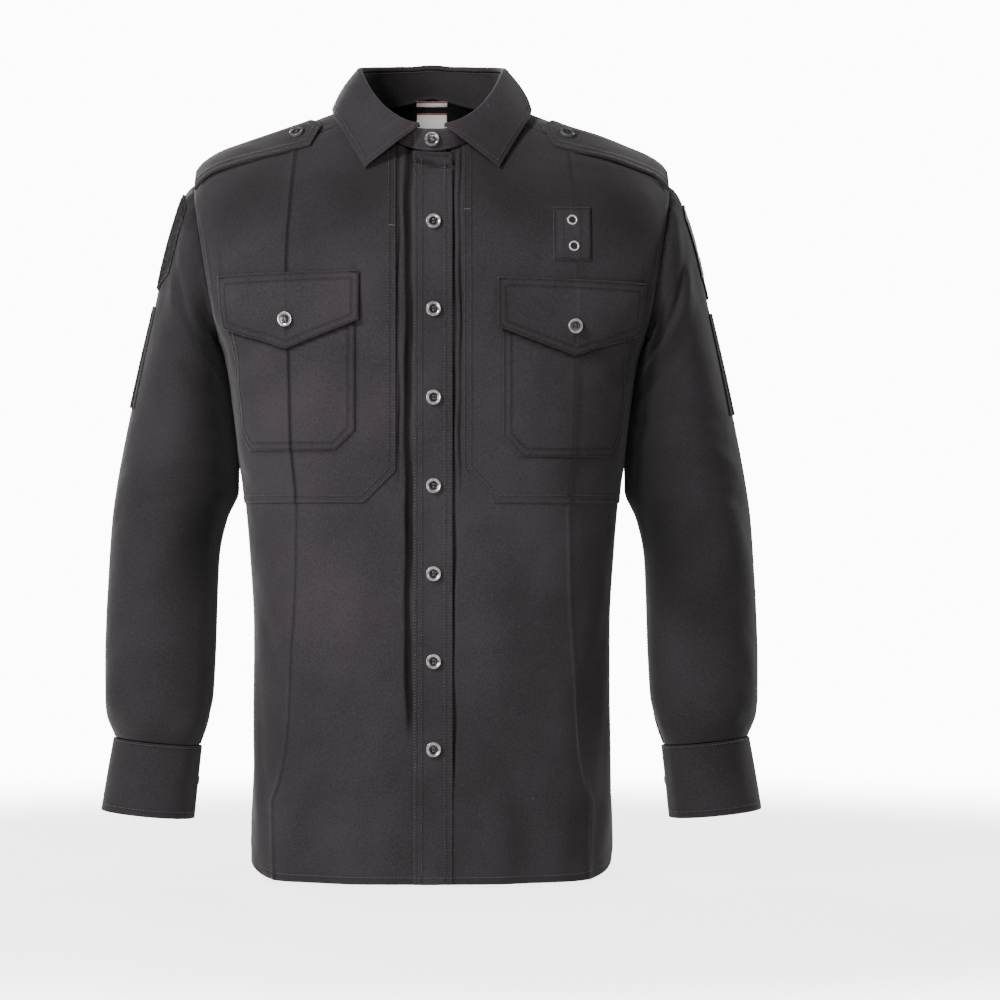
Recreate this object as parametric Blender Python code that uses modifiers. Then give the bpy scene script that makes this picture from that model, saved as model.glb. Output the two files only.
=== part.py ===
"""Long-sleeved uniform shirt, filled out as if worn.

The scene is in metres, +Z up. The front faces -Y and the wearer's left is +X. The origin is the
middle of the neck at the height of the shoulder-neck points, where the wearer's shoulders hold
the shirt. Lengths in the tables and functions are millimetres, and put_in_scene makes them metres.

Every cloth piece is first a flat pattern, a grid of (arc, height) points with the arc measured
round the body from the centre line. The pattern is cut by straight lines, laid on the body form
and given its thickness inwards. A piece that lies on another is cut from the same grid and lifted.
"""
import math
from functools import lru_cache

import bmesh
import bpy
import numpy as np
from mathutils import Matrix, Vector

for leftover in list(bpy.data.objects):
    bpy.data.objects.remove(leftover, do_unlink=True)

MILLIMETRE = 0.001

# Cloth, seams and layers
WALL = 1.2
SEAM = 0.4
PLY = 1.1
LAYER = 0.35

# Body form: horizontal sections from the dome over the neck down to the hem
TORSO_COLUMNS = ("z", "half_width", "front", "back", "roundness")
TORSO = (
    (34, 4, 15, 52, 1.9),
    (18, 45, 24, 62, 1.9),
    (5, 75, 34, 71, 1.9),
    (-11, 116.5, 48, 80, 1.85),
    (-22, 144.5, 57, 86, 1.8),
    (-40, 190, 71, 94, 1.75),
    (-50, 215, 78, 98, 1.8),
    (-60, 229, 84.5, 102, 2.0),
    (-77, 237.5, 95, 108, 2.4),
    (-100, 240, 106, 113, 2.9),
    (-125, 240, 113, 117, 3.2),
    (-165, 236, 121, 121, 3.3),
    (-200, 226, 125, 123, 3.2),
    (-225, 212, 126.5, 123, 3.1),
    (-244, 204, 127, 123, 3.0),
    (-312, 194, 126, 120, 2.8),
    (-370, 188, 124, 115, 2.7),
    (-436, 182, 121, 110, 2.6),
    (-520, 177.5, 118, 107, 2.5),
    (-640, 177.5, 118, 111, 2.45),
    (-720, 180.5, 120.5, 116, 2.4),
    (-762, 181, 121.5, 118, 2.4),
)

# The hem is level at the front and back and curves up towards each side seam
HEM_Z = -762
HEM_SIDE_RISE = 29
HEM_RISE_START = 0.6
HEM_RISE_POWER = 1.8

# Armhole: a flat cut through the body form, leaning out towards the shoulder
ARMHOLE_TOP = (237.5, -77)
ARMHOLE_LOW = (212, -225)

# Neck ring in plan, yoke seams and the pleated back
NECK_HALF_WIDTH = 75
NECK_FRONT = 78
NECK_BACK = 62
YOKE_FRONT_DROP = 18
YOKE_BACK_Z = -110
PLEAT_COLUMNS = ("z", "edge", "stand")
PLEAT = (
    (-110, 160, 0.6),
    (-165, 157, 5.0),
    (-290, 146, 5.0),
    (-430, 130, 0.0),
    (-762, 124, 0.0),
)
PLEAT_UNDERLAP = 22
PLEAT_STEP = 1.6
PLEAT_LEAD = 60
PLEAT_RISE = 34
PLEAT_FOLD = 26

# Front opening, chest ply and pockets, with arcs from the centre line
UNDER_FRONT_EDGE = -14
PLACKET = (-18, 19.4)
STRIP = PLACKET[1] + SEAM
PLACKET_LIFT = LAYER + PLY
CHEST_LIFT = LAYER + PLY
ARMHOLE_TRIM_Z = -300
POCKET_LIFT = CHEST_LIFT + LAYER + PLY
FLAP_WALL = 1.5
FLAP_LIFT = POCKET_LIFT + LAYER + FLAP_WALL
CHEST_COLUMNS = ("side", "inner", "bottom", "corner")
CHEST = (
    ("right", 34.5, -393, 31),
    ("left", 29.5, -393, 31),
)
POCKET_COLUMNS = ("side", "inner", "width", "top", "bottom", "corner")
POCKET = (
    ("right", 74, 137, -180, -342, 19),
    ("left", 68, 142, -186, -348, 19),
)
FLAP_COLUMNS = ("side", "inner", "width", "top", "edge_length", "point_length", "slope")
FLAP = (
    ("right", 70.5, 142, -168.5, 48, 75, 3.5),
    ("left", 63, 150, -175, 48, 75, 3.5),
)
FLAP_BUTTON_ABOVE_POINT = 29
FLAP_BULGE = 2.5
FLAP_BULGE_MIDDLE = 0.35

# Badge tab and its eyelets, on the wearer's left
TAB_ARC = (117, 154.5)
TAB_HEIGHT = (-158.5, -106)
TAB_WALL = 1.3
TAB_LIFT = CHEST_LIFT + LAYER + TAB_WALL
EYELETS = (("upper", 136, -119), ("lower", 137.5, -144.5))
EYELET_RADIUS = 4.9
EYELET_HOLE_RADIUS = 3.2
EYELET_BARREL_RADIUS = 3.6
EYELET_FLANGE = 0.9
EYELET_BEVEL = 0.6
EYELET_BARREL = 1.0
EYELET_GAP = 0.3
EYELET_SIDES = 16
HOLE_DEPTH = 8
TAB_HOLE_RADIUS = 4.0

# Sleeve rings from the armhole to the cuff: outer and inner points seen from the front
SLEEVE_COLUMNS = ("station", "outer_x", "outer_z", "inner_x", "inner_z", "half_depth", "centre_y")
SLEEVE = (
    (0, 237.5, -77, 212, -225, 72, 0),
    (1, 247, -89, 213.8, -228.5, 75, 1),
    (2, 257, -118, 213.8, -234, 77, 2),
    (3, 266.5, -153, 208.8, -243, 77, 2),
    (4, 275.5, -196, 204.2, -262, 75, 1),
    (5, 287.5, -248, 199.9, -290, 73, -1),
    (6, 298.5, -298, 195.9, -322, 70, -3),
    (7, 307.5, -343, 192.9, -352, 66, -5),
    (8, 313.5, -378, 191.7, -380, 61, -8),
    (9, 317.5, -409, 203.5, -410, 57.5, -10),
    (10, 320, -448, 211, -449, 55, -14),
    (11, 323.5, -540, 214, -543, 51, -23),
    (12, 323, -582, 216.5, -587, 48.5, -27),
    (13, 319.5, -604, 221.5, -611, 45, -29),
    (14, 313, -623.3, 230, -632, 37, -31),
)
SLEEVE_ROUNDNESS = 2.15
SLEEVE_ROWS = (0, 0.5, 1, 1.5, 2, 3, 4, 5, 6, 7, 8, 9, 10, 10.5, 11, 12, 13, 14)
SLEEVE_AROUND = 22
ARMHOLE_FADE = 4
GATHERS = 5
GATHER_DEPTH = 1.8
GATHER_STATION = 13

# Cuff, wrapped once round with its end lapped over at the vent
CUFF_COLUMNS = ("share", "outer_x", "outer_z", "inner_x", "inner_z", "half_depth", "centre_y")
CUFF = (
    (0, 314.5, -624.2, 229, -633, 38, -31),
    (1, 326.5, -695.5, 236.5, -704.5, 41, -34),
)
CUFF_WALL = 1.8
CUFF_LAP_DEGREES = 26
CUFF_AROUND = 26
VENT_DEGREES = -152
VENT_WIDTH = 24
VENT_LENGTH = 122
CUFF_BUTTON_DEGREES = 9

# What lies on the sleeves: centre arc, width, and the span down the outer line
SLEEVE_PATCHES_COLUMNS = ("name", "side", "arc", "width", "top", "length", "shoulder", "point")
SLEEVE_PATCHES = (
    ("patch_left", "left", -2, 80, 22, 98, 9, 26),
    ("loop_pad_left", "left", 8, 54, 134, 105, 0, 0),
    ("patch_pad_right", "right", 18, 80, 12, 98, 9, 26),
    ("loop_pad_right", "right", 8, 54, 127, 105, 0, 0),
)
PATCH_WALL = 1.4
PATCH_FOOT_SHARE = 0.3

# Collar: stand height round the neck, and the free edge of the leaf
STAND_COLUMNS = ("angle", "height")
STAND = (
    (0, 24),
    (15, 23),
    (35, 24),
    (60, 27),
    (90, 32),
    (110, 35),
    (130, 36.3),
    (150, 35),
    (165, 31.7),
    (180, 29),
)
STAND_WALL = 1.7
STAND_LEAN = 4
STAND_LAP_DEGREES = 14
STAND_RAMP = 12
STAND_RAMP_END = 28
STAND_CLEAR = 1.5
LEAF_COLUMNS = ("angle", "x", "y", "z")
LEAF_EDGE = (
    (8, 65.5, -93, -67),
    (30, 80.5, -69, -40),
    (50, 91, -50, -21),
    (70, 98.5, -28, -8),
    (90, 100, -4, 0),
    (115, 93, 36, 5),
    (145, 60, 68, 7.5),
    (180, 0, 81, 9),
)
LEAF_WALL = 2.0
LEAF_START_DEGREES = 9
COLLAR_DEGREES = (17, 28, 40, 53, 67, 80, 92, 105, 120, 140, 160, 180)
LEAF_FALL = (0.35, 0.7, 1)
LEAF_FULLNESS = 3.0
LEAF_ROLL = ((-1.6, 0.5), (-1.5, 2.6), (0.6, 4.6), (3.4, 4.3), (5.4, 1.6))

# Shoulder straps in plan, from the armhole seam to the pointed end. Their patterns run along -x.
STRAP_COLUMNS = ("minus_x", "centre_y", "half_width")
STRAP = (
    (-231.5, -16, 21),
    (-226, -18, 21.5),
    (-215, -22, 21.5),
    (-195, -29, 21),
    (-170, -33, 20.5),
    (-140, -35, 20),
    (-119, -35, 20),
    (-108, -35, 7),
)
STRAP_WALL = 2.2
STRAP_LIFT = CHEST_LIFT + LAYER + 0.4 + STRAP_WALL
STRAP_ARCH = 2.2
STRAP_ARCH_REACH = 1.15
STRAP_BUTTON = -132
STRAP_STATIONS = (-231.5, -226, -214, -199, -181, -161, -140, -128, -122.6)
STRAP_CORNER = -119
STRAP_TIP = -108

# Labels inside the back neck: half width, top and bottom
LABELS = (("upper", 16, 16, 11), ("lower", 15.5, 4.5, -30))
LABEL_WALL = 1.0

# Buttons
BUTTON_RADIUS = 7.2
BUTTON_THICKNESS = 3.0
BUTTON_EDGE_HEIGHT = 2.2
BUTTON_FOOT_RADIUS = 6.2
BUTTON_RIM_RADIUS = 5.8
BUTTON_DISH_RADIUS = 4.5
BUTTON_DISH_DEPTH = 0.9
BUTTON_SIDES = 12
BUTTON_GAP = 0.3
BUTTON_CURVE_GAP = 0.2
COLLAR_BUTTON_HEIGHT = 12
PLACKET_BUTTON_TOP = -120.6
PLACKET_BUTTON_STEP = -85.1
PLACKET_BUTTONS = 7
BUTTON_ARC = 1.5

# Grid steps shared by all pieces
FRONT_COLUMNS = 12
FRONT_COLUMN_LEAN = 0.85
FRONT_LOWER_ROWS = 10
FRONT_UPPER_SHARES = (0.11, 0.22, 0.33, 0.44, 0.55, 0.64, 0.73, 0.82, 0.91, 1)
NECK_SHARE = 0.55
BACK_UPPER_ROWS = 5
SIDE_BACK_SHARES = (0, 0.22, 0.44, 0.63, 0.82, 1)
YOKE_STEPS = (1, 0.86, 0.72, 0.58, 0.45, 0.22, 0.1, 0, -0.12, -0.3, -0.5, -0.75, -1)
SAMPLES = 90
OUTER_SAMPLES = 281
SLEEVE_STEP = 1.5
SOLVE_STEPS = 48
FORM_LOW_Z = -300
FORM_TOP_Z = 33.5


def blend(start, end, share):
    return start + (end - start) * share


def smooth_step(share):
    share = min(max(share, 0.0), 1.0)
    return share * share * (3 - 2 * share)


def monotone_curve(keys, values):
    """A smooth curve through table values that never overshoots them."""
    order = np.argsort(keys)
    keys = np.asarray(keys, float)[order]
    values = np.asarray(values, float)[order]
    gaps = np.diff(keys)
    slopes = np.diff(values) / gaps
    product = slopes[:-1] * slopes[1:]
    total = slopes[:-1] + slopes[1:]
    tangents = np.empty_like(values)
    tangents[0], tangents[-1] = slopes[0], slopes[-1]
    tangents[1:-1] = np.where(product > 0, 2 * product / np.where(total == 0, 1, total), 0)

    def value(key):
        key = min(max(key, keys[0]), keys[-1])
        k = min(int(np.searchsorted(keys, key, side="right")) - 1, len(gaps) - 1)
        t = (key - keys[k]) / gaps[k]
        start = values[k] * (1 + 2 * t) * (1 - t) ** 2 + values[k + 1] * t * t * (3 - 2 * t)
        lean = gaps[k] * (tangents[k] * t * (1 - t) ** 2 + tangents[k + 1] * t * t * (t - 1))
        return float(start + lean)

    return value


def table_curves(columns, rows):
    """One smooth curve for each column of a table, over its first column."""
    keys = [row[0] for row in rows]
    return {name: monotone_curve(keys, [row[i + 1] for row in rows])
            for i, name in enumerate(columns[1:])}


def table_rows(columns, rows):
    return [dict(zip(columns, row)) for row in rows]


def mirrored(vector, side):
    return Vector((vector.x * side, vector.y, vector.z))


def solve(function, low, high):
    """The place between low and high where a rising function is zero."""
    for _ in range(SOLVE_STEPS):
        middle = (low + high) / 2
        if function(middle) > 0:
            high = middle
        else:
            low = middle
    return (low + high) / 2


TORSO_CURVES = table_curves(TORSO_COLUMNS, TORSO)
PLEAT_CURVES = table_curves(PLEAT_COLUMNS, PLEAT)
SLEEVE_CURVES = table_curves(SLEEVE_COLUMNS, SLEEVE)
CUFF_CURVES = table_curves(CUFF_COLUMNS, CUFF)
STAND_CURVES = table_curves(STAND_COLUMNS, STAND)
LEAF_CURVES = table_curves(LEAF_COLUMNS, LEAF_EDGE)
STRAP_CURVES = table_curves(STRAP_COLUMNS, STRAP)


# The body form

def section_sizes(z, face):
    return (TORSO_CURVES["half_width"](z), TORSO_CURVES[face](z), TORSO_CURVES["roundness"](z))


def depth_share(x, z):
    """How much of the section's depth is left at a distance x from its middle."""
    ratio = min(abs(x) / TORSO_CURVES["half_width"](z), 1.0)
    power = TORSO_CURVES["roundness"](z)
    return (1 - ratio ** power) ** (1 / power)


@lru_cache(maxsize=None)
def quarter_section(z, face):
    """Points from the centre line to the side at one height, with the arc to each."""
    width, depth, power = section_sizes(z, face)
    angle = np.linspace(0, math.pi / 2, SAMPLES)
    x = width * np.sin(angle) ** (2 / power)
    y = depth * np.abs(np.cos(angle)) ** (2 / power)
    y[-1] = 0
    arc = np.concatenate(([0], np.cumsum(np.hypot(np.diff(x), np.diff(y)))))
    return x, y, arc


def torso_point(arc, z, face):
    x, y, arcs = quarter_section(round(z, 3), face)
    across = math.copysign(float(np.interp(abs(arc), arcs, x)), arc)
    depth = float(np.interp(abs(arc), arcs, y))
    return Vector((across, -depth if face == "front" else depth, z))


def torso_arc(x, z, face):
    xs, _, arcs = quarter_section(round(z, 3), face)
    return math.copysign(float(np.interp(abs(x), xs, arcs)), x)


def side_arc(z, face):
    return float(quarter_section(round(z, 3), face)[2][-1])


def form_value(x, y, z):
    """Below 1 inside the body form, 1 on it, above 1 outside."""
    width, depth, power = section_sizes(z, "front" if y < 0 else "back")
    return (abs(x) / width) ** power + (abs(y) / depth) ** power


def torso_normal(point):
    x, y, z = point
    width, depth, power = section_sizes(z, "front" if y < 0 else "back")
    slope_x = math.copysign(power / width * (abs(x) / width) ** (power - 1), x)
    slope_y = math.copysign(power / depth * (abs(y) / depth) ** (power - 1), y)
    slope_z = form_value(x, y, z + 0.5) - form_value(x, y, z - 0.5)
    return Vector((slope_x, slope_y, slope_z)).normalized()


def on_torso(face):
    """A function that lays a pattern point on the front or the back."""
    def place(arc, z):
        point = torso_point(arc, z, face)
        return point, torso_normal(point)
    return place


def shoulder_height(x, y):
    """Height of the body form over a place in plan, near the shoulders and neck."""
    return solve(lambda z: form_value(x, y, z) - 1, FORM_LOW_Z, FORM_TOP_Z)


def ridge_height(x):
    """Height of the shoulder line at a distance x from the middle."""
    return solve(lambda z: x - TORSO_CURVES["half_width"](z), ARMHOLE_TOP[1], FORM_TOP_Z)


def armhole_x(z):
    share = (z - ARMHOLE_LOW[1]) / (ARMHOLE_TOP[1] - ARMHOLE_LOW[1])
    return blend(ARMHOLE_LOW[0], ARMHOLE_TOP[0], share)


def neck_point(degrees):
    """A point of the neck seam, from 0 at the front to 180 at the back."""
    angle = math.radians(degrees)
    x = NECK_HALF_WIDTH * math.sin(angle)
    y = -math.cos(angle) * (NECK_FRONT if abs(degrees) <= 90 else NECK_BACK)
    return Vector((x, y, shoulder_height(x, y)))


def yoke_seam_z(x):
    return ridge_height(x) - YOKE_FRONT_DROP


YOKE_END_X = solve(lambda x: x - armhole_x(yoke_seam_z(x)), 200, 237)
YOKE_NECK_DEGREES = solve(
    lambda a: neck_point(a).z - yoke_seam_z(neck_point(a).x), 20, 89)
ARMHOLE_MIDDLE = (ARMHOLE_TOP[1] + ARMHOLE_LOW[1]) / 2
ARMHOLE_HALF = (ARMHOLE_TOP[1] - ARMHOLE_LOW[1]) / 2
COLUMN_SHARES = [share ** FRONT_COLUMN_LEAN for share in np.linspace(0, 1, FRONT_COLUMNS)]


def armhole_turn(z):
    """Angle round the armhole from its top, in degrees, at a height."""
    return math.degrees(math.acos((z - ARMHOLE_MIDDLE) / ARMHOLE_HALF))


def armhole_height(degrees):
    return ARMHOLE_MIDDLE + ARMHOLE_HALF * math.cos(math.radians(degrees))


# Making objects

def make_material(name, color, roughness, metallic=0.0):
    material = bpy.data.materials.new(name)
    material.use_nodes = True
    shader = material.node_tree.nodes["Principled BSDF"]
    shader.inputs["Base Color"].default_value = (*color, 1)
    shader.inputs["Roughness"].default_value = roughness
    shader.inputs["Metallic"].default_value = metallic
    return material


def flat_pattern(place, *blocks):
    """A flat triangle mesh of (arc, height) rows, lying in the XZ plane.

    Each point carries its place on the body form and the outward direction there. A cut keeps
    them along the triangles' sides, so pieces cut from one pattern bend alike and lie parallel.
    """
    mesh = bmesh.new()
    laid = mesh.verts.layers.float_vector.new("laid")
    outward = mesh.verts.layers.float_vector.new("outward")
    for rows in blocks:
        verts = [[mesh.verts.new((u, 0, v)) for u, v in row] for row in rows]
        for vert in (vert for row in verts for vert in row):
            vert[laid], vert[outward] = place(vert.co.x, vert.co.z)
        for low, high in zip(verts, verts[1:]):
            for k in range(len(low) - 1):
                mesh.faces.new((low[k], low[k + 1], high[k + 1]))
                mesh.faces.new((low[k], high[k + 1], high[k]))
    if len(blocks) > 1:
        bmesh.ops.remove_doubles(mesh, verts=mesh.verts[:], dist=0.001)
    return mesh


def cut_along(mesh, start, end):
    """Cuts a flat pattern along a line and keeps what lies to the line's left."""
    direction = Vector((end[0] - start[0], 0, end[1] - start[1])).normalized()
    away = Vector((direction.z, 0, -direction.x))
    bmesh.ops.bisect_plane(
        mesh, geom=mesh.verts[:] + mesh.edges[:] + mesh.faces[:], dist=0.01,
        plane_co=(start[0], 0, start[1]), plane_no=away, clear_outer=True)


def cut_to(mesh, outline):
    """Keeps the part of a flat pattern inside an outline given anticlockwise."""
    for start, end in zip(outline, outline[1:] + outline[:1]):
        cut_along(mesh, start, end)


def lay(mesh, lift=0.0, side=1):
    """Moves a flat pattern onto its form. A lift may be a function of arc and height."""
    laid = mesh.verts.layers.float_vector["laid"]
    outward = mesh.verts.layers.float_vector["outward"]
    for vert in mesh.verts:
        proud = lift(vert.co.x, vert.co.z) if callable(lift) else lift
        vert.co = mirrored(vert[laid] + vert[outward].normalized() * proud, side)
    mesh.normal_update()
    face = mesh.faces[:][0]
    if face.normal.dot(mirrored(face.verts[0][outward], side)) < 0:
        bmesh.ops.reverse_faces(mesh, faces=mesh.faces[:])


def put_in_scene(name, mesh, material, wall, mirror=False):
    """Makes an object of a mesh in millimetres, with its wall thickness inwards."""
    data = bpy.data.meshes.new(name)
    bmesh.ops.scale(mesh, vec=(MILLIMETRE,) * 3, verts=mesh.verts[:])
    mesh.to_mesh(data)
    mesh.free()
    data.shade_smooth()
    piece = bpy.data.objects.new(name, data)
    data.materials.append(material)
    shirt.objects.link(piece)
    if mirror:
        half = piece.modifiers.new("Other half", "MIRROR")
        half.merge_threshold = 0.00005
    solidify = piece.modifiers.new("Cloth wall", "SOLIDIFY")
    solidify.thickness = wall * MILLIMETRE
    solidify.offset = -1
    return piece


# Fronts, yoke and back

def neck_z(arc):
    """Height of the neck seam at an arc from the centre front."""
    return neck_point(math.degrees(math.asin(abs(arc) / NECK_HALF_WIDTH))).z


def hem_height(share):
    """Height of the hem at a share of the arc from the centre line to the side seam."""
    rise = max(0, (share - HEM_RISE_START) / (1 - HEM_RISE_START))
    return HEM_Z + HEM_SIDE_RISE * rise ** HEM_RISE_POWER


def front_block():
    """Rows of the front pattern, from the strip's edge to the side seam, armhole and yoke."""
    start = math.degrees(math.asin(STRIP / NECK_HALF_WIDTH))
    end = YOKE_NECK_DEGREES - math.degrees(2 * SEAM / NECK_FRONT)

    def inner(t):
        if t <= NECK_SHARE:
            return STRIP, blend(ARMHOLE_LOW[1], neck_z(STRIP), t / NECK_SHARE)
        point = neck_point(blend(start, end, (t - NECK_SHARE) / (1 - NECK_SHARE)))
        return torso_arc(point.x, point.z, "front"), point.z

    def outer(t):
        z = armhole_height(blend(180, armhole_turn(yoke_seam_z(YOKE_END_X)), t))
        return torso_arc(armhole_x(z) - SEAM, z, "front"), z

    def top(share):
        x = blend(neck_point(YOKE_NECK_DEGREES).x, YOKE_END_X - SEAM, share)
        z = yoke_seam_z(x) - 2 * SEAM
        return torso_arc(x, z, "front"), z

    rows = []
    for t in np.linspace(0, 1, FRONT_LOWER_ROWS):
        heights = [blend(hem_height(share), ARMHOLE_LOW[1], t) for share in COLUMN_SHARES]
        rows.append([(blend(STRIP, side_arc(z, "front") - SEAM / 2, share), z)
                     for share, z in zip(COLUMN_SHARES, heights)])
    for t in FRONT_UPPER_SHARES:
        row = []
        for share in COLUMN_SHARES:
            point = [blend(a, b, share) for a, b in zip(inner(t), outer(t))]
            straight = [blend(a, b, share) for a, b in zip(inner(1), outer(1))]
            shift = [(a - b) * t * t * share for a, b in zip(top(share), straight)]
            row.append((point[0] + shift[0], point[1] + shift[1]))
        rows.append(row)
    return rows


def strip_block():
    """Rows of the strip over the centre line, level with those of the front pattern."""
    arcs = (-STRIP, 0, STRIP)
    rows = [[(arc, z) for arc in arcs]
            for z in np.linspace(HEM_Z, ARMHOLE_LOW[1], FRONT_LOWER_ROWS)]
    for t in FRONT_UPPER_SHARES:
        if t <= NECK_SHARE:
            rows.append([(arc, blend(ARMHOLE_LOW[1], neck_z(arc), t / NECK_SHARE)) for arc in arcs])
    return rows


def trim_at_armhole(mesh, side):
    """Cuts a laid ply back from the flat armhole, above the chest's narrowing."""
    lean = Vector((ARMHOLE_TOP[0] - ARMHOLE_LOW[0], 0, ARMHOLE_TOP[1] - ARMHOLE_LOW[1]))
    away = Vector((lean.z * side, 0, -lean.x)).normalized()
    point = Vector(((ARMHOLE_LOW[0] - 1.5 * SEAM) * side, 0, ARMHOLE_LOW[1]))
    faces = [face for face in mesh.faces if max(v.co.z for v in face.verts) > ARMHOLE_TRIM_Z]
    edges = {edge for face in faces for edge in face.edges}
    verts = {vert for face in faces for vert in face.verts}
    bmesh.ops.bisect_plane(mesh, geom=list(verts) + list(edges) + faces, dist=0.01,
                           plane_co=point, plane_no=away, clear_outer=True)


def cut_chest(mesh, row):
    inner, bottom, corner = row["inner"], row["bottom"], row["corner"]
    cut_along(mesh, (inner, 0), (inner, bottom))
    cut_along(mesh, (inner, bottom + corner), (inner + corner, bottom))
    cut_along(mesh, (inner, bottom), (inner + corner, bottom))


def pocket_outline(row):
    low, high = row["inner"], row["inner"] + row["width"]
    top, bottom, corner = row["top"], row["bottom"], row["corner"]
    return [(low, top), (low, bottom + corner), (low + corner, bottom), (high - corner, bottom),
            (high, bottom + corner), (high, top)]


def flap_outline(row):
    low, high = row["inner"], row["inner"] + row["width"]
    top, slope = row["top"], row["slope"]
    point = (low + high) / 2
    return [(low, top), (low, top - row["edge_length"]), (point, top - row["point_length"]),
            (high, top - slope - row["edge_length"]), (high, top - slope)]


def flap_button_place(row):
    middle = row["inner"] + row["width"] / 2
    return middle, row["top"] - row["point_length"] + FLAP_BUTTON_ABOVE_POINT


def flap_lift(row):
    """A flap is sewn flat at its top and stands off a little towards its edges."""
    def lift(arc, z):
        drop = (row["top"] - z) / row["point_length"]
        across = (arc - row["inner"]) / row["width"] * 2 - 1
        bulge = blend(FLAP_BULGE_MIDDLE, 1, across * across)
        return FLAP_LIFT + FLAP_BULGE * smooth_step(drop) * bulge
    return lift


def side_row(columns, rows, side_name):
    return next(row for row in table_rows(columns, rows) if row["side"] == side_name)


def make_fronts(cloth):
    block, strip = front_block(), strip_block()
    place = on_torso("front")
    for side_name, side in (("left", 1), ("right", -1)):
        if side_name == "left":
            mesh = flat_pattern(place, block)
        else:
            mesh = flat_pattern(place, block, strip)
            cut_along(mesh, (UNDER_FRONT_EDGE, 0), (UNDER_FRONT_EDGE, HEM_Z))
        lay(mesh, side=side)
        put_in_scene(f"front_{side_name}", mesh, cloth, WALL)

        mesh = flat_pattern(place, block)
        cut_chest(mesh, side_row(CHEST_COLUMNS, CHEST, side_name))
        lay(mesh, CHEST_LIFT, side)
        trim_at_armhole(mesh, side)
        put_in_scene(f"chest_panel_{side_name}", mesh, cloth, PLY)

        mesh = flat_pattern(place, block)
        cut_to(mesh, pocket_outline(side_row(POCKET_COLUMNS, POCKET, side_name)))
        lay(mesh, POCKET_LIFT, side)
        put_in_scene(f"pocket_{side_name}", mesh, cloth, PLY)

        flap = side_row(FLAP_COLUMNS, FLAP, side_name)
        mesh = flat_pattern(place, block)
        cut_to(mesh, flap_outline(flap))
        lay(mesh, flap_lift(flap), side)
        put_in_scene(f"flap_{side_name}", mesh, cloth, FLAP_WALL)


def make_placket(cloth):
    """The button band, cut from the strip over the centre line and laid like the right front."""
    right, left = PLACKET
    top = neck_z(0) - 2 * SEAM
    mesh = flat_pattern(on_torso("front"), strip_block())
    cut_along(mesh, (-left, 0), (-left, HEM_Z))
    cut_along(mesh, (-right, HEM_Z), (-right, 0))
    cut_along(mesh, (-right, top), (-left, top))
    lay(mesh, PLACKET_LIFT, -1)
    put_in_scene("placket", mesh, cloth, PLY)


def yoke_drop(x, back):
    """Fall of the yoke from the shoulder line to its seam."""
    return ridge_height(x) - YOKE_BACK_Z - SEAM if back else YOKE_FRONT_DROP - SEAM


def on_yoke(x, turn):
    """Lays (x, turn) on the yoke: turn is 1 at the back seam, 0 on the ridge, -1 in front."""
    z = ridge_height(x) - yoke_drop(x, turn > 0) * turn * turn
    face = "back" if turn > 0 else "front"
    depth = TORSO_CURVES[face](z) * depth_share(x, z)
    point = Vector((x, math.copysign(depth, turn), z))
    return point, torso_normal(point)


def yoke_turn(x, z, back):
    turn = math.sqrt(max(ridge_height(x) - z, 0) / yoke_drop(x, back))
    return turn if back else -turn


def yoke_rows():
    back_neck = neck_point(180)
    neck_turn = yoke_turn(0, back_neck.z, True)

    def inner(turn):
        if turn >= neck_turn:
            return 0, turn
        if turn > 0:
            degrees = blend(90, 180, turn / neck_turn)
        else:
            degrees = blend(90, YOKE_NECK_DEGREES, -turn)
        point = neck_point(degrees)
        return point.x, yoke_turn(point.x, point.z, degrees > 90)

    def outer(turn):
        end = YOKE_BACK_Z + SEAM if turn > 0 else yoke_seam_z(YOKE_END_X) + SEAM
        z = blend(ARMHOLE_TOP[1], end, turn * turn)
        x = armhole_x(z) - SEAM
        return x, yoke_turn(x, z, turn > 0)

    turns = sorted(set(YOKE_STEPS) | {neck_turn}, reverse=True)
    return [[tuple(blend(a, b, share) for a, b in zip(inner(turn), outer(turn)))
             for share in COLUMN_SHARES] for turn in turns]


def make_yoke(cloth):
    mesh = flat_pattern(on_yoke, yoke_rows())
    lay(mesh)
    put_in_scene("yoke", mesh, cloth, WALL, mirror=True)


def make_labels(tape):
    """Labels cut from the yoke's pattern and laid on its inside, below the stand."""
    for name, half, top, bottom in LABELS:
        high, low = (yoke_turn(0, z, True) for z in (top, bottom))
        mesh = flat_pattern(on_yoke, yoke_rows())
        cut_to(mesh, [(-1, low), (-1, high), (half, high), (half, low)])
        lay(mesh, -WALL - LAYER)
        put_in_scene(f"neck_label_{name}", mesh, tape, LABEL_WALL, mirror=True)


def pleat_lift(arc, z):
    """The back panel steps over the side back and stands open at its pleat edge."""
    edge = PLEAT_CURVES["edge"](z)
    step = smooth_step((abs(arc) - edge + PLEAT_LEAD) / PLEAT_RISE) * PLEAT_STEP
    stand = smooth_step((abs(arc) - edge + PLEAT_FOLD) / PLEAT_FOLD) * PLEAT_CURVES["stand"](z)
    return step + stand


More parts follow.
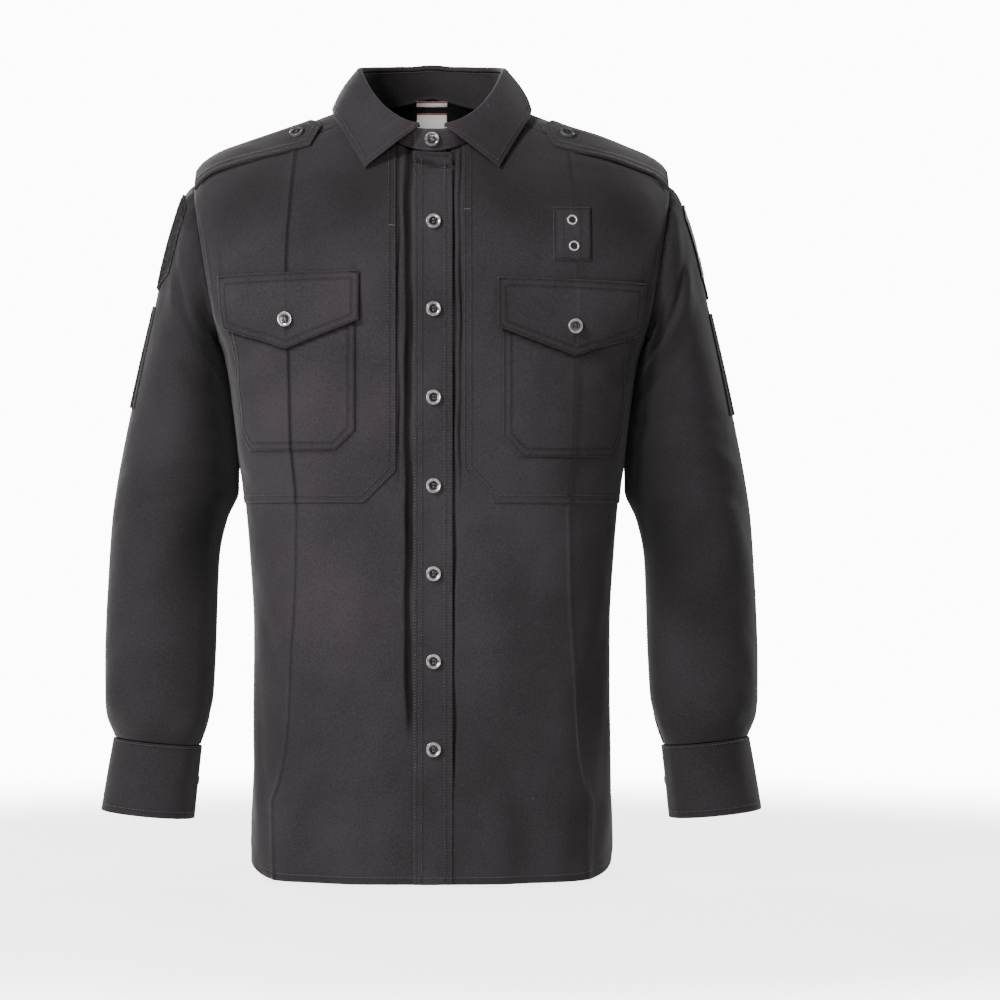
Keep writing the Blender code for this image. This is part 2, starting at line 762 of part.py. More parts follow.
def make_back(cloth):
    heights = list(np.linspace(HEM_Z, ARMHOLE_LOW[1], FRONT_LOWER_ROWS))
    heights += list(np.linspace(ARMHOLE_LOW[1], YOKE_BACK_Z - SEAM, BACK_UPPER_ROWS + 1)[1:])
    rows = []
    for z in heights:
        edge = PLEAT_CURVES["edge"](z)
        lead = edge - PLEAT_LEAD
        half = [lead / 2, lead, lead + PLEAT_RISE / 2, edge - PLEAT_FOLD, edge - PLEAT_FOLD / 2, edge]
        rows.append([(arc, z) for arc in [-a for a in reversed(half)] + [0] + half])
    mesh = flat_pattern(on_torso("back"), rows)
    lay(mesh, pleat_lift)
    put_in_scene("back_centre", mesh, cloth, WALL)

    rows = []
    for t in np.linspace(0, 1, FRONT_LOWER_ROWS):
        level = blend(HEM_Z, ARMHOLE_LOW[1], t)
        start = PLEAT_CURVES["edge"](level) - PLEAT_UNDERLAP
        row = []
        for share in SIDE_BACK_SHARES:
            whole = blend(start / side_arc(level, "back"), 1, share)
            z = blend(hem_height(whole), ARMHOLE_LOW[1], t)
            row.append((blend(start, side_arc(z, "back") - SEAM / 2, share), z))
        rows.append(row)
    for t in np.linspace(0, 1, BACK_UPPER_ROWS + 1)[1:]:
        inner_z = blend(ARMHOLE_LOW[1], YOKE_BACK_Z - SEAM, t)
        outer_z = armhole_height(blend(180, armhole_turn(YOKE_BACK_Z - SEAM), t))
        start = PLEAT_CURVES["edge"](inner_z) - PLEAT_UNDERLAP
        end = torso_arc(armhole_x(outer_z) - SEAM, outer_z, "back")
        rows.append([(blend(start, end, share), blend(inner_z, outer_z, share))
                     for share in SIDE_BACK_SHARES])
    for side_name, side in (("left", 1), ("right", -1)):
        mesh = flat_pattern(on_torso("back"), rows)
        lay(mesh, side=side)
        put_in_scene(f"back_side_{side_name}", mesh, cloth, WALL)


# Sleeves and cuffs

def sleeve_ring_point(degrees, station):
    """A point of a sleeve ring, from 0 on the outer line, with the front at 90."""
    at = {name: curve(station) for name, curve in SLEEVE_CURVES.items()}
    angle = math.radians(degrees)
    power = 2 / SLEEVE_ROUNDNESS
    along = math.copysign(abs(math.cos(angle)) ** power, math.cos(angle))
    forward = math.copysign(abs(math.sin(angle)) ** power, math.sin(angle))
    x = blend(at["inner_x"], at["outer_x"], (1 + along) / 2)
    z = blend(at["inner_z"], at["outer_z"], (1 + along) / 2)
    y = at["centre_y"] - at["half_depth"] * forward
    if station < ARMHOLE_FADE:
        height = blend(ARMHOLE_LOW[1], ARMHOLE_TOP[1], (1 + along) / 2)
        face = "front" if forward > 0 else "back"
        depth = TORSO_CURVES[face](height) * depth_share(armhole_x(height), height)
        armhole_y = -math.copysign(depth, forward)
        start_y = SLEEVE_CURVES["centre_y"](0) - SLEEVE_CURVES["half_depth"](0) * forward
        y += (armhole_y - start_y) * (1 - station / ARMHOLE_FADE) ** 2
    point = Vector((x, y, z))
    gather = GATHER_DEPTH * max(0, 1 - abs(station - GATHER_STATION)) * math.cos(GATHERS * angle)
    middle = Vector(((at["outer_x"] + at["inner_x"]) / 2, at["centre_y"],
                     (at["outer_z"] + at["inner_z"]) / 2))
    return point + (point - middle).normalized() * gather


@lru_cache(maxsize=None)
def sleeve_ring(station):
    """Points round a ring from the inner line over the front, with arcs from the outer line."""
    degrees = np.linspace(-180, 180, 2 * SAMPLES + 1)
    points = np.array([sleeve_ring_point(d, station) for d in degrees])
    steps = np.linalg.norm(np.diff(points, axis=0), axis=1)
    arcs = np.concatenate(([0], np.cumsum(steps)))
    return degrees, points, arcs - arcs[SAMPLES]


def outer_line():
    stations = np.linspace(0, SLEEVE[-1][0], OUTER_SAMPLES)
    points = np.array([sleeve_ring_point(0, s) for s in stations])
    steps = np.linalg.norm(np.diff(points, axis=0), axis=1)
    return stations, np.concatenate(([0], np.cumsum(steps)))


OUTER_STATIONS, OUTER_LENGTHS = outer_line()
SLEEVE_LENGTH = float(OUTER_LENGTHS[-1])


def sleeve_point(arc, length):
    station = round(float(np.interp(length, OUTER_LENGTHS, OUTER_STATIONS)), 4)
    _, points, arcs = sleeve_ring(station)
    return Vector([float(np.interp(arc, arcs, points[:, axis])) for axis in range(3)])


def on_sleeve(arc, length):
    """Lays a pattern point on the sleeve: arc from the outer line, length down from its top."""
    around = sleeve_point(arc + SLEEVE_STEP, length) - sleeve_point(arc - SLEEVE_STEP, length)
    down = sleeve_point(arc, length + SLEEVE_STEP) - sleeve_point(arc, length - SLEEVE_STEP)
    return sleeve_point(arc, length), around.cross(down).normalized()


def sleeve_arc(degrees, station):
    all_degrees, _, arcs = sleeve_ring(round(station, 4))
    return float(np.interp(degrees, all_degrees, arcs))


def sleeve_rows():
    rows = []
    for station in SLEEVE_ROWS:
        length = float(np.interp(station, OUTER_STATIONS, OUTER_LENGTHS))
        rows.append([(sleeve_arc(degrees, station), -length)
                     for degrees in np.linspace(-180, 180, SLEEVE_AROUND + 1)])
    return rows


def on_sleeve_down(arc, height):
    """The sleeve's pattern has its length as a negative height, so that up stays up."""
    point, normal = on_sleeve(arc, -height)
    return point + Vector((SEAM, 0, 0)), normal


def patch_outline(row):
    left, right = row["arc"] - row["width"] / 2, row["arc"] + row["width"] / 2
    top, bottom = -row["top"], -row["top"] - row["length"]
    cut, rise = row["shoulder"], row["point"]
    if not cut:
        return [(left, top), (left, bottom), (right, bottom), (right, top)]
    foot = row["width"] * PATCH_FOOT_SHARE
    return [(left + cut, top), (left, top - cut), (left, bottom + rise), (left + foot, bottom),
            (right - foot, bottom), (right, bottom + rise), (right, top - cut), (right - cut, top)]


def make_sleeves(cloth, pad, emblem):
    rows = sleeve_rows()
    vent_arc = sleeve_arc(VENT_DEGREES, SLEEVE[-1][0] - 1)
    vent = [(vent_arc - VENT_WIDTH / 2, -SLEEVE_LENGTH + VENT_LENGTH),
            (vent_arc - VENT_WIDTH / 2, -SLEEVE_LENGTH - 1),
            (vent_arc + VENT_WIDTH / 2, -SLEEVE_LENGTH - 1),
            (vent_arc + VENT_WIDTH / 2, -SLEEVE_LENGTH + VENT_LENGTH)]
    for side_name, side in (("left", 1), ("right", -1)):
        mesh = flat_pattern(on_sleeve_down, rows)
        lay(mesh, side=side)
        bmesh.ops.remove_doubles(mesh, verts=mesh.verts[:], dist=0.05)
        put_in_scene(f"sleeve_{side_name}", mesh, cloth, WALL)
        mesh = flat_pattern(on_sleeve_down, rows)
        cut_to(mesh, vent)
        lay(mesh, LAYER + PLY, side)
        put_in_scene(f"sleeve_placket_{side_name}", mesh, cloth, PLY)
    for row in table_rows(SLEEVE_PATCHES_COLUMNS, SLEEVE_PATCHES):
        mesh = flat_pattern(on_sleeve_down, rows)
        cut_to(mesh, patch_outline(row))
        side = 1 if row["side"] == "left" else -1
        lay(mesh, LAYER + PATCH_WALL, side)
        put_in_scene(row["name"], mesh, emblem if row["name"] == "patch_left" else pad, PATCH_WALL)


def cuff_point(degrees, share):
    at = {name: curve(share) for name, curve in CUFF_CURVES.items()}
    angle = math.radians(degrees)
    along, forward = math.cos(angle), math.sin(angle)
    return Vector((blend(at["inner_x"], at["outer_x"], (1 + along) / 2),
                   at["centre_y"] - at["half_depth"] * forward,
                   blend(at["inner_z"], at["outer_z"], (1 + along) / 2)))


def cuff_normal(degrees, share):
    around = cuff_point(degrees + 1, share) - cuff_point(degrees - 1, share)
    down = cuff_point(degrees, 1) - cuff_point(degrees, 0)
    return around.cross(down).normalized()


def cuff_lift(turned, _share=0):
    """The lapped end climbs over the start of the cuff."""
    return (CUFF_WALL + LAYER + 0.1) * smooth_step((turned - 360 + 34) / 30)


def on_cuff(turned, share):
    degrees = VENT_DEGREES - CUFF_LAP_DEGREES / 2 + turned
    point, normal = cuff_point(degrees, -share), cuff_normal(degrees, -share)
    return point + Vector((SEAM, 0, 0)), normal


def make_cuffs(cloth):
    turns = np.linspace(0, 360 + CUFF_LAP_DEGREES, CUFF_AROUND + 1)
    rows = [[(turned, -share) for turned in turns] for share in (1, 0.5, 0)]
    for side_name, side in (("left", 1), ("right", -1)):
        mesh = flat_pattern(on_cuff, rows)
        lay(mesh, cuff_lift, side)
        put_in_scene(f"cuff_{side_name}", mesh, cloth, CUFF_WALL)


# Collar

def stand_top(degrees):
    """Top of the stand, leaning in a little from the neck seam."""
    base = neck_point(abs(degrees))
    inward = Vector((-base.x, -base.y, 0)).normalized()
    top = base + inward * STAND_LEAN * math.sin(math.radians(min(abs(degrees), 90)))
    top.z += STAND_CURVES["height"](abs(degrees))
    return mirrored(top, -1 if degrees < 0 else 1)


def on_stand(turned, share):
    """Turns run from the lapping end, through the wearer's left, round to the under end."""
    degrees = turned if turned <= 180 else turned - 360
    base = mirrored(neck_point(abs(degrees)), -1 if degrees < 0 else 1)
    base.z += STAND_CLEAR
    point = base.lerp(stand_top(degrees), share)
    return point, Vector((point.x, point.y, 0)).normalized()


def stand_lift(turned, _share=0):
    """The wearer's left end laps over the right end at the front."""
    return (STAND_WALL + LAYER + 0.2) * smooth_step((STAND_RAMP_END - turned) / STAND_RAMP)


def make_stand(cloth):
    half = [LEAF_START_DEGREES] + list(COLLAR_DEGREES)
    other_half = [360 - turned for turned in reversed(half[:-1])]
    turns = [-STAND_LAP_DEGREES, -LEAF_START_DEGREES, 0] + half + other_half
    turns += [360, 360 + STAND_LAP_DEGREES]
    mesh = flat_pattern(on_stand, [[(turned, share) for turned in turns] for share in (0, 0.5, 1)])
    lay(mesh, stand_lift)
    put_in_scene("collar_stand", mesh, cloth, STAND_WALL)


def leaf_section(degrees):
    """The leaf from the stand's top, over the fold and down to its free edge."""
    top = stand_top(degrees)
    out = Vector((top.x, top.y, 0)).normalized()
    top += out * stand_lift(degrees)
    roll = [top + out * step[0] + Vector((0, 0, step[1])) for step in LEAF_ROLL]
    edge = Vector([LEAF_CURVES[axis](degrees) for axis in ("x", "y", "z")])
    points = list(roll)
    for share in LEAF_FALL:
        fullness = out * LEAF_FULLNESS * math.sin(math.pi * share)
        points.append(roll[-1].lerp(edge, share) + fullness)
    return points


def make_leaf(cloth):
    mesh = bmesh.new()
    rows = [[mesh.verts.new(point) for point in leaf_section(degrees)]
            for degrees in [LEAF_START_DEGREES] + list(COLLAR_DEGREES)]
    for first, second in zip(rows, rows[1:]):
        for k in range(len(first) - 1):
            mesh.faces.new((first[k], second[k], second[k + 1], first[k + 1]))
    for vert in rows[-1]:
        vert.co.x = 0
    mesh.normal_update()
    if rows[0][-1].link_faces[0].normal.y > 0:
        bmesh.ops.reverse_faces(mesh, faces=mesh.faces[:])
    put_in_scene("collar_leaf", mesh, cloth, LEAF_WALL, mirror=True)


# Straps and tab

def on_strap(across, minus_x):
    """Lays (across -1 to 1, -x) on the shoulder along the strap."""
    y = STRAP_CURVES["centre_y"](minus_x) + across * STRAP_CURVES["half_width"](minus_x)
    point = Vector((-minus_x, y, shoulder_height(-minus_x, y)))
    return point, torso_normal(point)


def strap_lift(_across, minus_x):
    share = (minus_x - STRAP[0][0]) / (STRAP[-1][0] - STRAP[0][0])
    return STRAP_LIFT + STRAP_ARCH * math.sin(math.pi * min(share * STRAP_ARCH_REACH, 1)) ** 2


def make_straps(cloth):
    across = (-1, -0.5, 0, 0.5, 1)
    rows = [[(step, station) for step in across] for station in STRAP_STATIONS]
    rows.append([(step, blend(STRAP_TIP, STRAP_CORNER, abs(step))) for step in across])
    for side_name, side in (("left", 1), ("right", -1)):
        mesh = flat_pattern(on_strap, rows)
        lay(mesh, strap_lift, side)
        put_in_scene(f"shoulder_strap_{side_name}", mesh, cloth, STRAP_WALL)


def drill(piece, place, normal, radius):
    """Cuts a round hole through a piece."""
    mesh = bmesh.new()
    bmesh.ops.create_cone(
        mesh, cap_ends=True, segments=EYELET_SIDES, radius1=radius * MILLIMETRE,
        radius2=radius * MILLIMETRE, depth=HOLE_DEPTH * MILLIMETRE)
    data = bpy.data.meshes.new("hole")
    mesh.to_mesh(data)
    mesh.free()
    cutter = bpy.data.objects.new("hole", data)
    cutter.matrix_world = facing(place, normal)
    cutter.hide_render = True
    cutter.display_type = "WIRE"
    cutters.objects.link(cutter)
    cut = piece.modifiers.new("Eyelet hole", "BOOLEAN")
    cut.operation = "DIFFERENCE"
    cut.solver = "EXACT"
    cut.object = cutter


def facing(place, normal):
    """A matrix in metres that stands a turned piece on a surface, its axis along the normal."""
    turn = Vector(normal).to_track_quat("Z", "Y").to_matrix().to_4x4()
    return Matrix.Translation(Vector(place) * MILLIMETRE) @ turn


def make_tab(cloth, metal):
    mesh = flat_pattern(on_torso("front"), front_block())
    (left, right), (bottom, top) = TAB_ARC, TAB_HEIGHT
    cut_to(mesh, [(left, top), (left, bottom), (right, bottom), (right, top)])
    lay(mesh, TAB_LIFT)
    tab = put_in_scene("badge_tab", mesh, cloth, TAB_WALL)
    for name, arc, z in EYELETS:
        point, normal = on_torso("front")(arc, z)
        drill(tab, point + normal * TAB_LIFT, normal, TAB_HOLE_RADIUS)
        eyelet = turned_piece(f"eyelet_{name}", eyelet_profile(), EYELET_SIDES, metal)
        eyelet.matrix_world = facing(point + normal * (TAB_LIFT + EYELET_GAP), normal)


# Turned pieces

def turned_piece(name, profile, sides, material):
    """A closed profile of (radius, height) in millimetres, turned round the Z axis."""
    data = bpy.data.meshes.new(name)
    mesh = bmesh.new()
    verts = [mesh.verts.new((radius * MILLIMETRE, 0, height * MILLIMETRE))
             for radius, height in profile]
    closed = profile[0][0] > 0
    for first, second in zip(verts, verts[1:] + (verts[:1] if closed else [])):
        mesh.edges.new((first, second))
    mesh.to_mesh(data)
    mesh.free()
    data.materials.append(material)
    piece = bpy.data.objects.new(name, data)
    shirt.objects.link(piece)
    screw = piece.modifiers.new("Turned", "SCREW")
    screw.steps = sides
    screw.render_steps = sides
    screw.use_merge_vertices = True
    screw.merge_threshold = 0.00001
    return piece


def button_profile():
    """From the dished face's middle, over the rim, down the side to the back."""
    dish = BUTTON_THICKNESS - BUTTON_DISH_DEPTH
    return [(0, dish), (BUTTON_DISH_RADIUS, dish), (BUTTON_RIM_RADIUS, BUTTON_THICKNESS),
            (BUTTON_RADIUS, BUTTON_EDGE_HEIGHT), (BUTTON_FOOT_RADIUS, 0), (0, 0)]


def eyelet_profile():
    """A flange that lies on the tab, with a barrel going down into the tab's hole."""
    return [(EYELET_HOLE_RADIUS, EYELET_FLANGE), (EYELET_RADIUS - EYELET_BEVEL, EYELET_FLANGE),
            (EYELET_RADIUS, 0), (EYELET_BARREL_RADIUS, 0),
            (EYELET_BARREL_RADIUS, -EYELET_BARREL), (EYELET_HOLE_RADIUS, -EYELET_BARREL)]


def add_button(name, point, normal, lift, side, material):
    """A button over the cloth at a point, at a height above it."""
    button = turned_piece(name, button_profile(), BUTTON_SIDES, material)
    place = mirrored(point + normal * (lift + BUTTON_GAP), side)
    button.matrix_world = facing(place, mirrored(normal, side))


def make_buttons(material):
    for number in range(PLACKET_BUTTONS):
        z = PLACKET_BUTTON_TOP + PLACKET_BUTTON_STEP * number
        point, normal = on_torso("front")(BUTTON_ARC, z)
        add_button(f"placket_button_{number + 1}", point, normal, PLACKET_LIFT, 1, material)
    point, normal = on_stand(0, COLLAR_BUTTON_HEIGHT / STAND_CURVES["height"](0))
    add_button("collar_button", point, normal, stand_lift(0), 1, material)
    for side_name, side in (("left", 1), ("right", -1)):
        row = side_row(FLAP_COLUMNS, FLAP, side_name)
        arc, z = flap_button_place(row)
        point, normal = on_torso("front")(arc, z)
        lift = flap_lift(row)(arc, z) + BUTTON_CURVE_GAP
        add_button(f"flap_button_{side_name}", point, normal, lift, side, material)
        point, normal = on_strap(0, STRAP_BUTTON)
        lift = strap_lift(0, STRAP_BUTTON) + BUTTON_CURVE_GAP
        add_button(f"strap_button_{side_name}", point, normal, lift, side, material)
        turned = 360 + CUFF_LAP_DEGREES - CUFF_BUTTON_DEGREES
        point, normal = on_cuff(turned, -0.5)
        lift = cuff_lift(turned) + BUTTON_CURVE_GAP
        add_button(f"cuff_button_{side_name}", point, normal, lift, side, material)


shirt = bpy.data.collections.new("Uniform shirt")
cutters = bpy.data.collections.new("Cutters")
bpy.context.scene.collection.children.link(shirt)
bpy.context.scene.collection.children.link(cutters)

twill = make_material("Charcoal twill", (0.035, 0.033, 0.035), 0.8)
loop_tape = make_material("Loop tape", (0.025, 0.025, 0.027), 0.95)
embroidery = make_material("Embroidered patch", (0.5, 0.5, 0.5), 0.7)
label_tape = make_material("Label tape", (0.8, 0.8, 0.78), 0.8)
button_resin = make_material("Button resin", (0.015, 0.015, 0.017), 0.2)
nickel = make_material("Nickel", (0.7, 0.7, 0.7), 0.25, 1.0)

make_fronts(twill)
make_placket(twill)
make_yoke(twill)
make_back(twill)
make_sleeves(twill, loop_tape, embroidery)
make_cuffs(twill)
make_stand(twill)
make_leaf(twill)
make_straps(twill)
make_tab(twill, nickel)
make_labels(label_tape)
make_buttons(button_resin)
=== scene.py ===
"""Looks of a long-sleeved uniform shirt, filled out as if worn.

Metres, +Z up, front towards -Y, the wearer's left towards +X. Tables and patterns are in
millimetres. Every cloth piece is a flat pattern of (u, v) points: cut to shape, laid on its form
with the soft folds of that form, and given its thickness inwards.
"""

import math

import bmesh
import bpy
import numpy as np
from mathutils import Matrix, Vector


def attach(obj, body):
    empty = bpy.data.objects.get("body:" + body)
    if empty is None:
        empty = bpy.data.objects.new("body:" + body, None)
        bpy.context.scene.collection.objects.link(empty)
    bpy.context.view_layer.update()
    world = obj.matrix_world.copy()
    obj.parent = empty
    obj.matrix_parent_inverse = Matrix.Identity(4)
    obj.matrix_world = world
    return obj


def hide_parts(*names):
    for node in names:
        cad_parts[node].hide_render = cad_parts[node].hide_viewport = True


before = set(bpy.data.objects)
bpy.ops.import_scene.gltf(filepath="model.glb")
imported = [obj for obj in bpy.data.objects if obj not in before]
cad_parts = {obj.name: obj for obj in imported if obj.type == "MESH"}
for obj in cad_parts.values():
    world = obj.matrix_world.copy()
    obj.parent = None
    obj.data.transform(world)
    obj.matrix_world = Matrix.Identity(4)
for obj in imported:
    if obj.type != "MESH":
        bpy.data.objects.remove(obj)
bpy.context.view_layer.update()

MILLIMETRE = 0.001

# Cloth, seams and layers
WALL = 1.2
SEAM = 0.1
PLY = 1.1
LAYER = 0.35
SEWN_IN_LIFT = 0.3
EDGE_ROUNDING = 0.3

# Rolled edges: distances inside the edge and the heights there
PLY_EDGE = ((0, 0.7, 1.8, 4.6, 7.8, 10.5), (-0.5, 0.0, -0.16, 0.14, -0.2, 0.0))
EDGE_SCORES = PLY_EDGE[0][1:]
TAB_EDGE = ((0, 0.7, 1.8, 3.4), (-0.4, 0, -0.14, 0))
VENT_EDGE = ((0, 0.7, 1.8, 4), (-0.4, 0, -0.14, 0))
PAD_EDGE = ((0, 0.8, 2.5), (-0.45, -0.05, 0))
STRAP_EDGE = ((0, 0.7, 1.8, 4.4, 7.4, 10), (-0.6, 0, -0.14, 0.12, -0.14, 0))

# Body form: horizontal sections from the dome over the neck down to the hem
TORSO_COLUMNS = ("z", "half_width", "front", "back", "roundness")
TORSO = (
    (34, 4, 15, 52, 1.9),
    (18, 45, 24, 62, 1.9),
    (5, 75, 34, 71, 1.9),
    (-11, 116.5, 48, 80, 1.85),
    (-22, 144.5, 57, 86, 1.8),
    (-40, 190, 71, 94, 1.75),
    (-50, 215, 78, 98, 1.8),
    (-60, 229, 84.5, 102, 2.0),
    (-77, 237.5, 95, 108, 2.4),
    (-100, 240, 106, 113, 2.9),
    (-125, 240, 113, 117, 3.2),
    (-165, 236, 121, 121, 3.3),
    (-200, 226, 125, 123, 3.2),
    (-225, 212, 126.5, 123, 3.1),
    (-244, 204, 127, 123, 3.0),
    (-312, 194, 126, 120, 2.8),
    (-370, 188, 124, 115, 2.7),
    (-436, 182, 121, 110, 2.6),
    (-520, 177.5, 118, 107, 2.5),
    (-640, 177.5, 118, 111, 2.45),
    (-720, 180.5, 120.5, 116, 2.4),
    (-762, 181, 121.5, 118, 2.4),
)
TORSO_TOP = 33.5

# The hem is level at the front and back and curves up towards each side seam
HEM_Z = -762
HEM_SIDE_RISE = 29
HEM_RISE_START = 0.6
HEM_RISE_POWER = 1.8
HEM_STITCH = 7

# Armhole: a flat cut through the body form, leaning out towards the shoulder
ARMHOLE_TOP = (237.5, -77)
ARMHOLE_LOW = (212, -225)

# Neck ring in plan, yoke seams and the pleated back
NECK_HALF_WIDTH = 75
NECK_FRONT = 78
NECK_BACK = 62
YOKE_FRONT_DROP = 18
YOKE_BACK_Z = -110
PLEAT_COLUMNS = ("z", "edge", "stand")
PLEAT = (
    (-110, 160, 0.6),
    (-165, 157, 5.0),
    (-290, 146, 5.0),
    (-430, 130, 0.0),
    (-762, 124, 0.0),
)
PLEAT_UNDERLAP = 22
PLEAT_STEP = 1.6
PLEAT_LEAD = 60
PLEAT_RISE = 34
PLEAT_FOLD = 26

# Front opening, chest ply and pockets, with arcs from the centre line
UNDER_FRONT_EDGE = -14
PLACKET = (-18, 19.4)
PLACKET_COVER = 0.9
PLACKET_HELD_REACH = 34
PLACKET_FREE = (0.7, 2.2)
STRIP = 19.5
PLACKET_LIFT = LAYER + PLY
CHEST_LIFT = LAYER + PLY
POCKET_LIFT = CHEST_LIFT + LAYER + PLY
FLAP_WALL = 1.5
FLAP_LIFT = POCKET_LIFT + LAYER + FLAP_WALL
SIDE_REACH = 262
CHEST_COLUMNS = ("side", "inner", "bottom", "corner", "tack")
CHEST = (
    ("right", 34.5, -393, 31, -124),
    ("left", 29.5, -393, 31, -108),
)
POCKET_COLUMNS = ("side", "inner", "width", "top", "bottom", "corner")
POCKET = (
    ("right", 74, 137, -180, -342, 19),
    ("left", 68, 142, -186, -348, 19),
)
FLAP_COLUMNS = ("side", "inner", "width", "top", "edge_length", "point_length", "slope", "pen_slot")
FLAP = (
    ("right", 70.5, 142, -168.5, 48, 75, 3.5, 53),
    ("left", 63, 150, -175, 48, 75, 3.5, 55),
)
FLAP_BUTTON_ABOVE_POINT = 29
FLAP_BULGE = 3.4
FLAP_BULGE_MIDDLE = 0.35
FLAP_CREASE_LOSS = 0.75
POCKET_LEGS = (0, 1, 2, 3, 4)

# Pressed and stitched creases that run down both fronts: height and distance from the middle
CREASE_COLUMNS = ("z", "x")
CREASE = (
    (-20, 132),
    (-53, 134),
    (-168, 141),
    (-247, 138),
    (-342, 135.5),
    (-391, 131.5),
    (-474, 133),
    (-553, 136),
    (-630, 142),
    (-674, 151),
    (-684, 155.5),
    (-708, 155),
    (-762, 153),
)
CREASE_HEIGHT = 1.3
CREASE_WIDTH = 7
CREASE_STEP = 0.9
CREASE_TOP = -30
CREASE_TOP_FADE = 12
# Painted shade along the crease: the height below which it grows faint, and its half width
CREASE_SHADE_LOW = -400
CREASE_SHADE_WIDTH = 1.2

# Badge tab and its eyelets, on the wearer's left
TAB_ARC = (117, 154.5)
TAB_HEIGHT = (-158.5, -106)
TAB_WALL = 1.3
TAB_LIFT = CHEST_LIFT + LAYER + TAB_WALL
TAB_CREASE_LOSS = 0.6
TAB_ROWS = (10.5, 27)
EYELETS = (("upper", 136, -119), ("lower", 137.5, -144.5))
EYELET_RADIUS = 4.9
EYELET_HOLE_RADIUS = 3.2
EYELET_STRETCH = (1.06, 1.06, 1.5, 1)

# Sleeve rings from the armhole to the cuff: outer and inner points seen from the front
SLEEVE_COLUMNS = ("station", "outer_x", "outer_z", "inner_x", "inner_z", "half_depth", "centre_y")
SLEEVE = (
    (0, 237.5, -77, 212, -225, 72, 0),
    (1, 247, -89, 213.8, -228.5, 75, 1),
    (2, 257, -118, 213.8, -234, 77, 2),
    (3, 266.5, -153, 208.8, -243, 77, 2),
    (4, 275.5, -196, 204.2, -262, 75, 1),
    (5, 287.5, -248, 199.9, -290, 73, -1),
    (6, 298.5, -298, 195.9, -322, 70, -3),
    (7, 307.5, -343, 192.9, -352, 66, -5),
    (8, 313.5, -378, 191.7, -380, 61, -8),
    (9, 317.5, -409, 203.5, -410, 57.5, -10),
    (10, 320, -448, 211, -449, 55, -14),
    (11, 323.5, -540, 214, -543, 51, -23),
    (12, 323, -582, 216.5, -587, 48.5, -27),
    (13, 319.5, -604, 221.5, -611, 45, -29),
    (14, 313, -623.3, 230, -632, 37, -31),
)
SLEEVE_GAP = 0.4
RING_DEGREES = np.linspace(-180, 180, 361)
RING_MIDDLE = 180
SLEEVE_ROUNDNESS = 2.15
ARMHOLE_FADE = 4
GATHERS = 5
GATHER_DEPTH = 1.8
GATHER_STATION = 13
EASE_RIPPLES = 26
EASE_DEPTH = 0.9
EASE_REACH = 30

# Cuff, wrapped once round with its end lapped over at the vent
CUFF_COLUMNS = ("share", "outer_x", "outer_z", "inner_x", "inner_z", "half_depth", "centre_y")
CUFF = (
    (0, 314.5, -624.2, 229, -633, 38, -31),
    (1, 326.5, -695.5, 236.5, -704.5, 41, -34),
)
CUFF_WALL = 1.8
CUFF_LENGTH = 72
CUFF_LAP_DEGREES = 26
CUFF_RAMP = (34, 30)
CUFF_LAP_LIFT = CUFF_WALL + LAYER + 0.1
CUFF_STITCH = 6.5
CUFF_TOP_STITCH = 2.2
VENT_DEGREES = -152
VENT_WIDTH = 24
VENT_LENGTH = 122
CUFF_BUTTON_DEGREES = 9

# What lies on the sleeves: centre arc, width, and the span down the outer line
PATCH_COLUMNS = ("name", "side", "arc", "width", "top", "length", "shoulder", "point")
PATCHES = (
    ("patch_left", 1, -2, 80, 22, 98, 9, 26),
    ("loop_pad_left", 1, 8, 54, 134, 105, 0, 0),
    ("patch_pad_right", -1, 18, 80, 12, 98, 9, 26),
    ("loop_pad_right", -1, 8, 54, 127, 105, 0, 0),
)
PATCH_WALL = 1.4
PATCH_FOOT_SHARE = 0.3
PAD_STITCH = 1.6

# Loops of the pads: reach and height, loops per square millimetre, and the yarn
LOOP_REACH = (0.35, 0.75)
LOOP_HEIGHT = (0.35, 0.8)
LOOP_DENSITY = 0.75
YARN_HALF_WIDTH = 0.11
YARN_SINK = 0.1
YARN_RISE = 0.1

# The patch's generic badge: border, ring, lozenge and chevrons
EMBROIDERY_WALL = 0.4
BORDER_INSET = 2.0
BORDER_REACH = 1.9
BORDER_ASLANT = 2.3
BORDER_LEAN = 0.2
BORDER_STEP = 0.9
RING_DROP = 31
RING_RADII = (17, 14)
LOZENGE = (6, 9)
CHEVRON_REACH = 24

# Collar: stand height round the neck, and the free edge of the leaf
STAND_COLUMNS = ("angle", "height")
STAND = (
    (0, 24),
    (15, 23),
    (35, 24),
    (60, 27),
    (90, 32),
    (110, 35),
    (130, 36.3),
    (150, 35),
    (165, 31.7),
    (180, 29),
)
STAND_WALL = 1.7
STAND_LEAN = 4
STAND_LAP_DEGREES = 14
STAND_RAMP = 12
STAND_RAMP_END = 28
STAND_CLEAR = 1.5
STAND_LAP_LIFT = STAND_WALL + LAYER + 0.2
STAND_SHARES = (-0.1, -0.05, 0, 0.03, 0.08, 0.16, 0.3, 0.45, 0.6, 0.75, 0.88, 0.945, 0.965)
STAND_EDGE = ((-0.1, 0, 0.03, 0.945, 0.965), (-0.9, -0.4, 0, 0, -0.4))
STAND_ROWS = (0.09, 0.9)
LEAF_COLUMNS = ("angle", "x", "y", "z")
LEAF_EDGE = (
    (8, 65.5, -93, -67),
    (30, 80.5, -69, -40),
    (50, 91, -50, -21),
    (70, 98.5, -28, -8),
    (90, 100, -4, 0),
    (115, 93, 36, 5),
    (145, 60, 68, 7.5),
    (180, 0, 81, 9),
)
LEAF_WALL = 2.0
LEAF_START_DEGREES = 9
LEAF_FALL = (0.35, 0.7, 1)
LEAF_FULLNESS = 3.0
LEAF_ROLL = ((-1.6, 0.5), (-1.5, 2.6), (0.6, 4.6), (3.4, 4.3), (5.4, 1.6))
LEAF_STITCH = 5.5
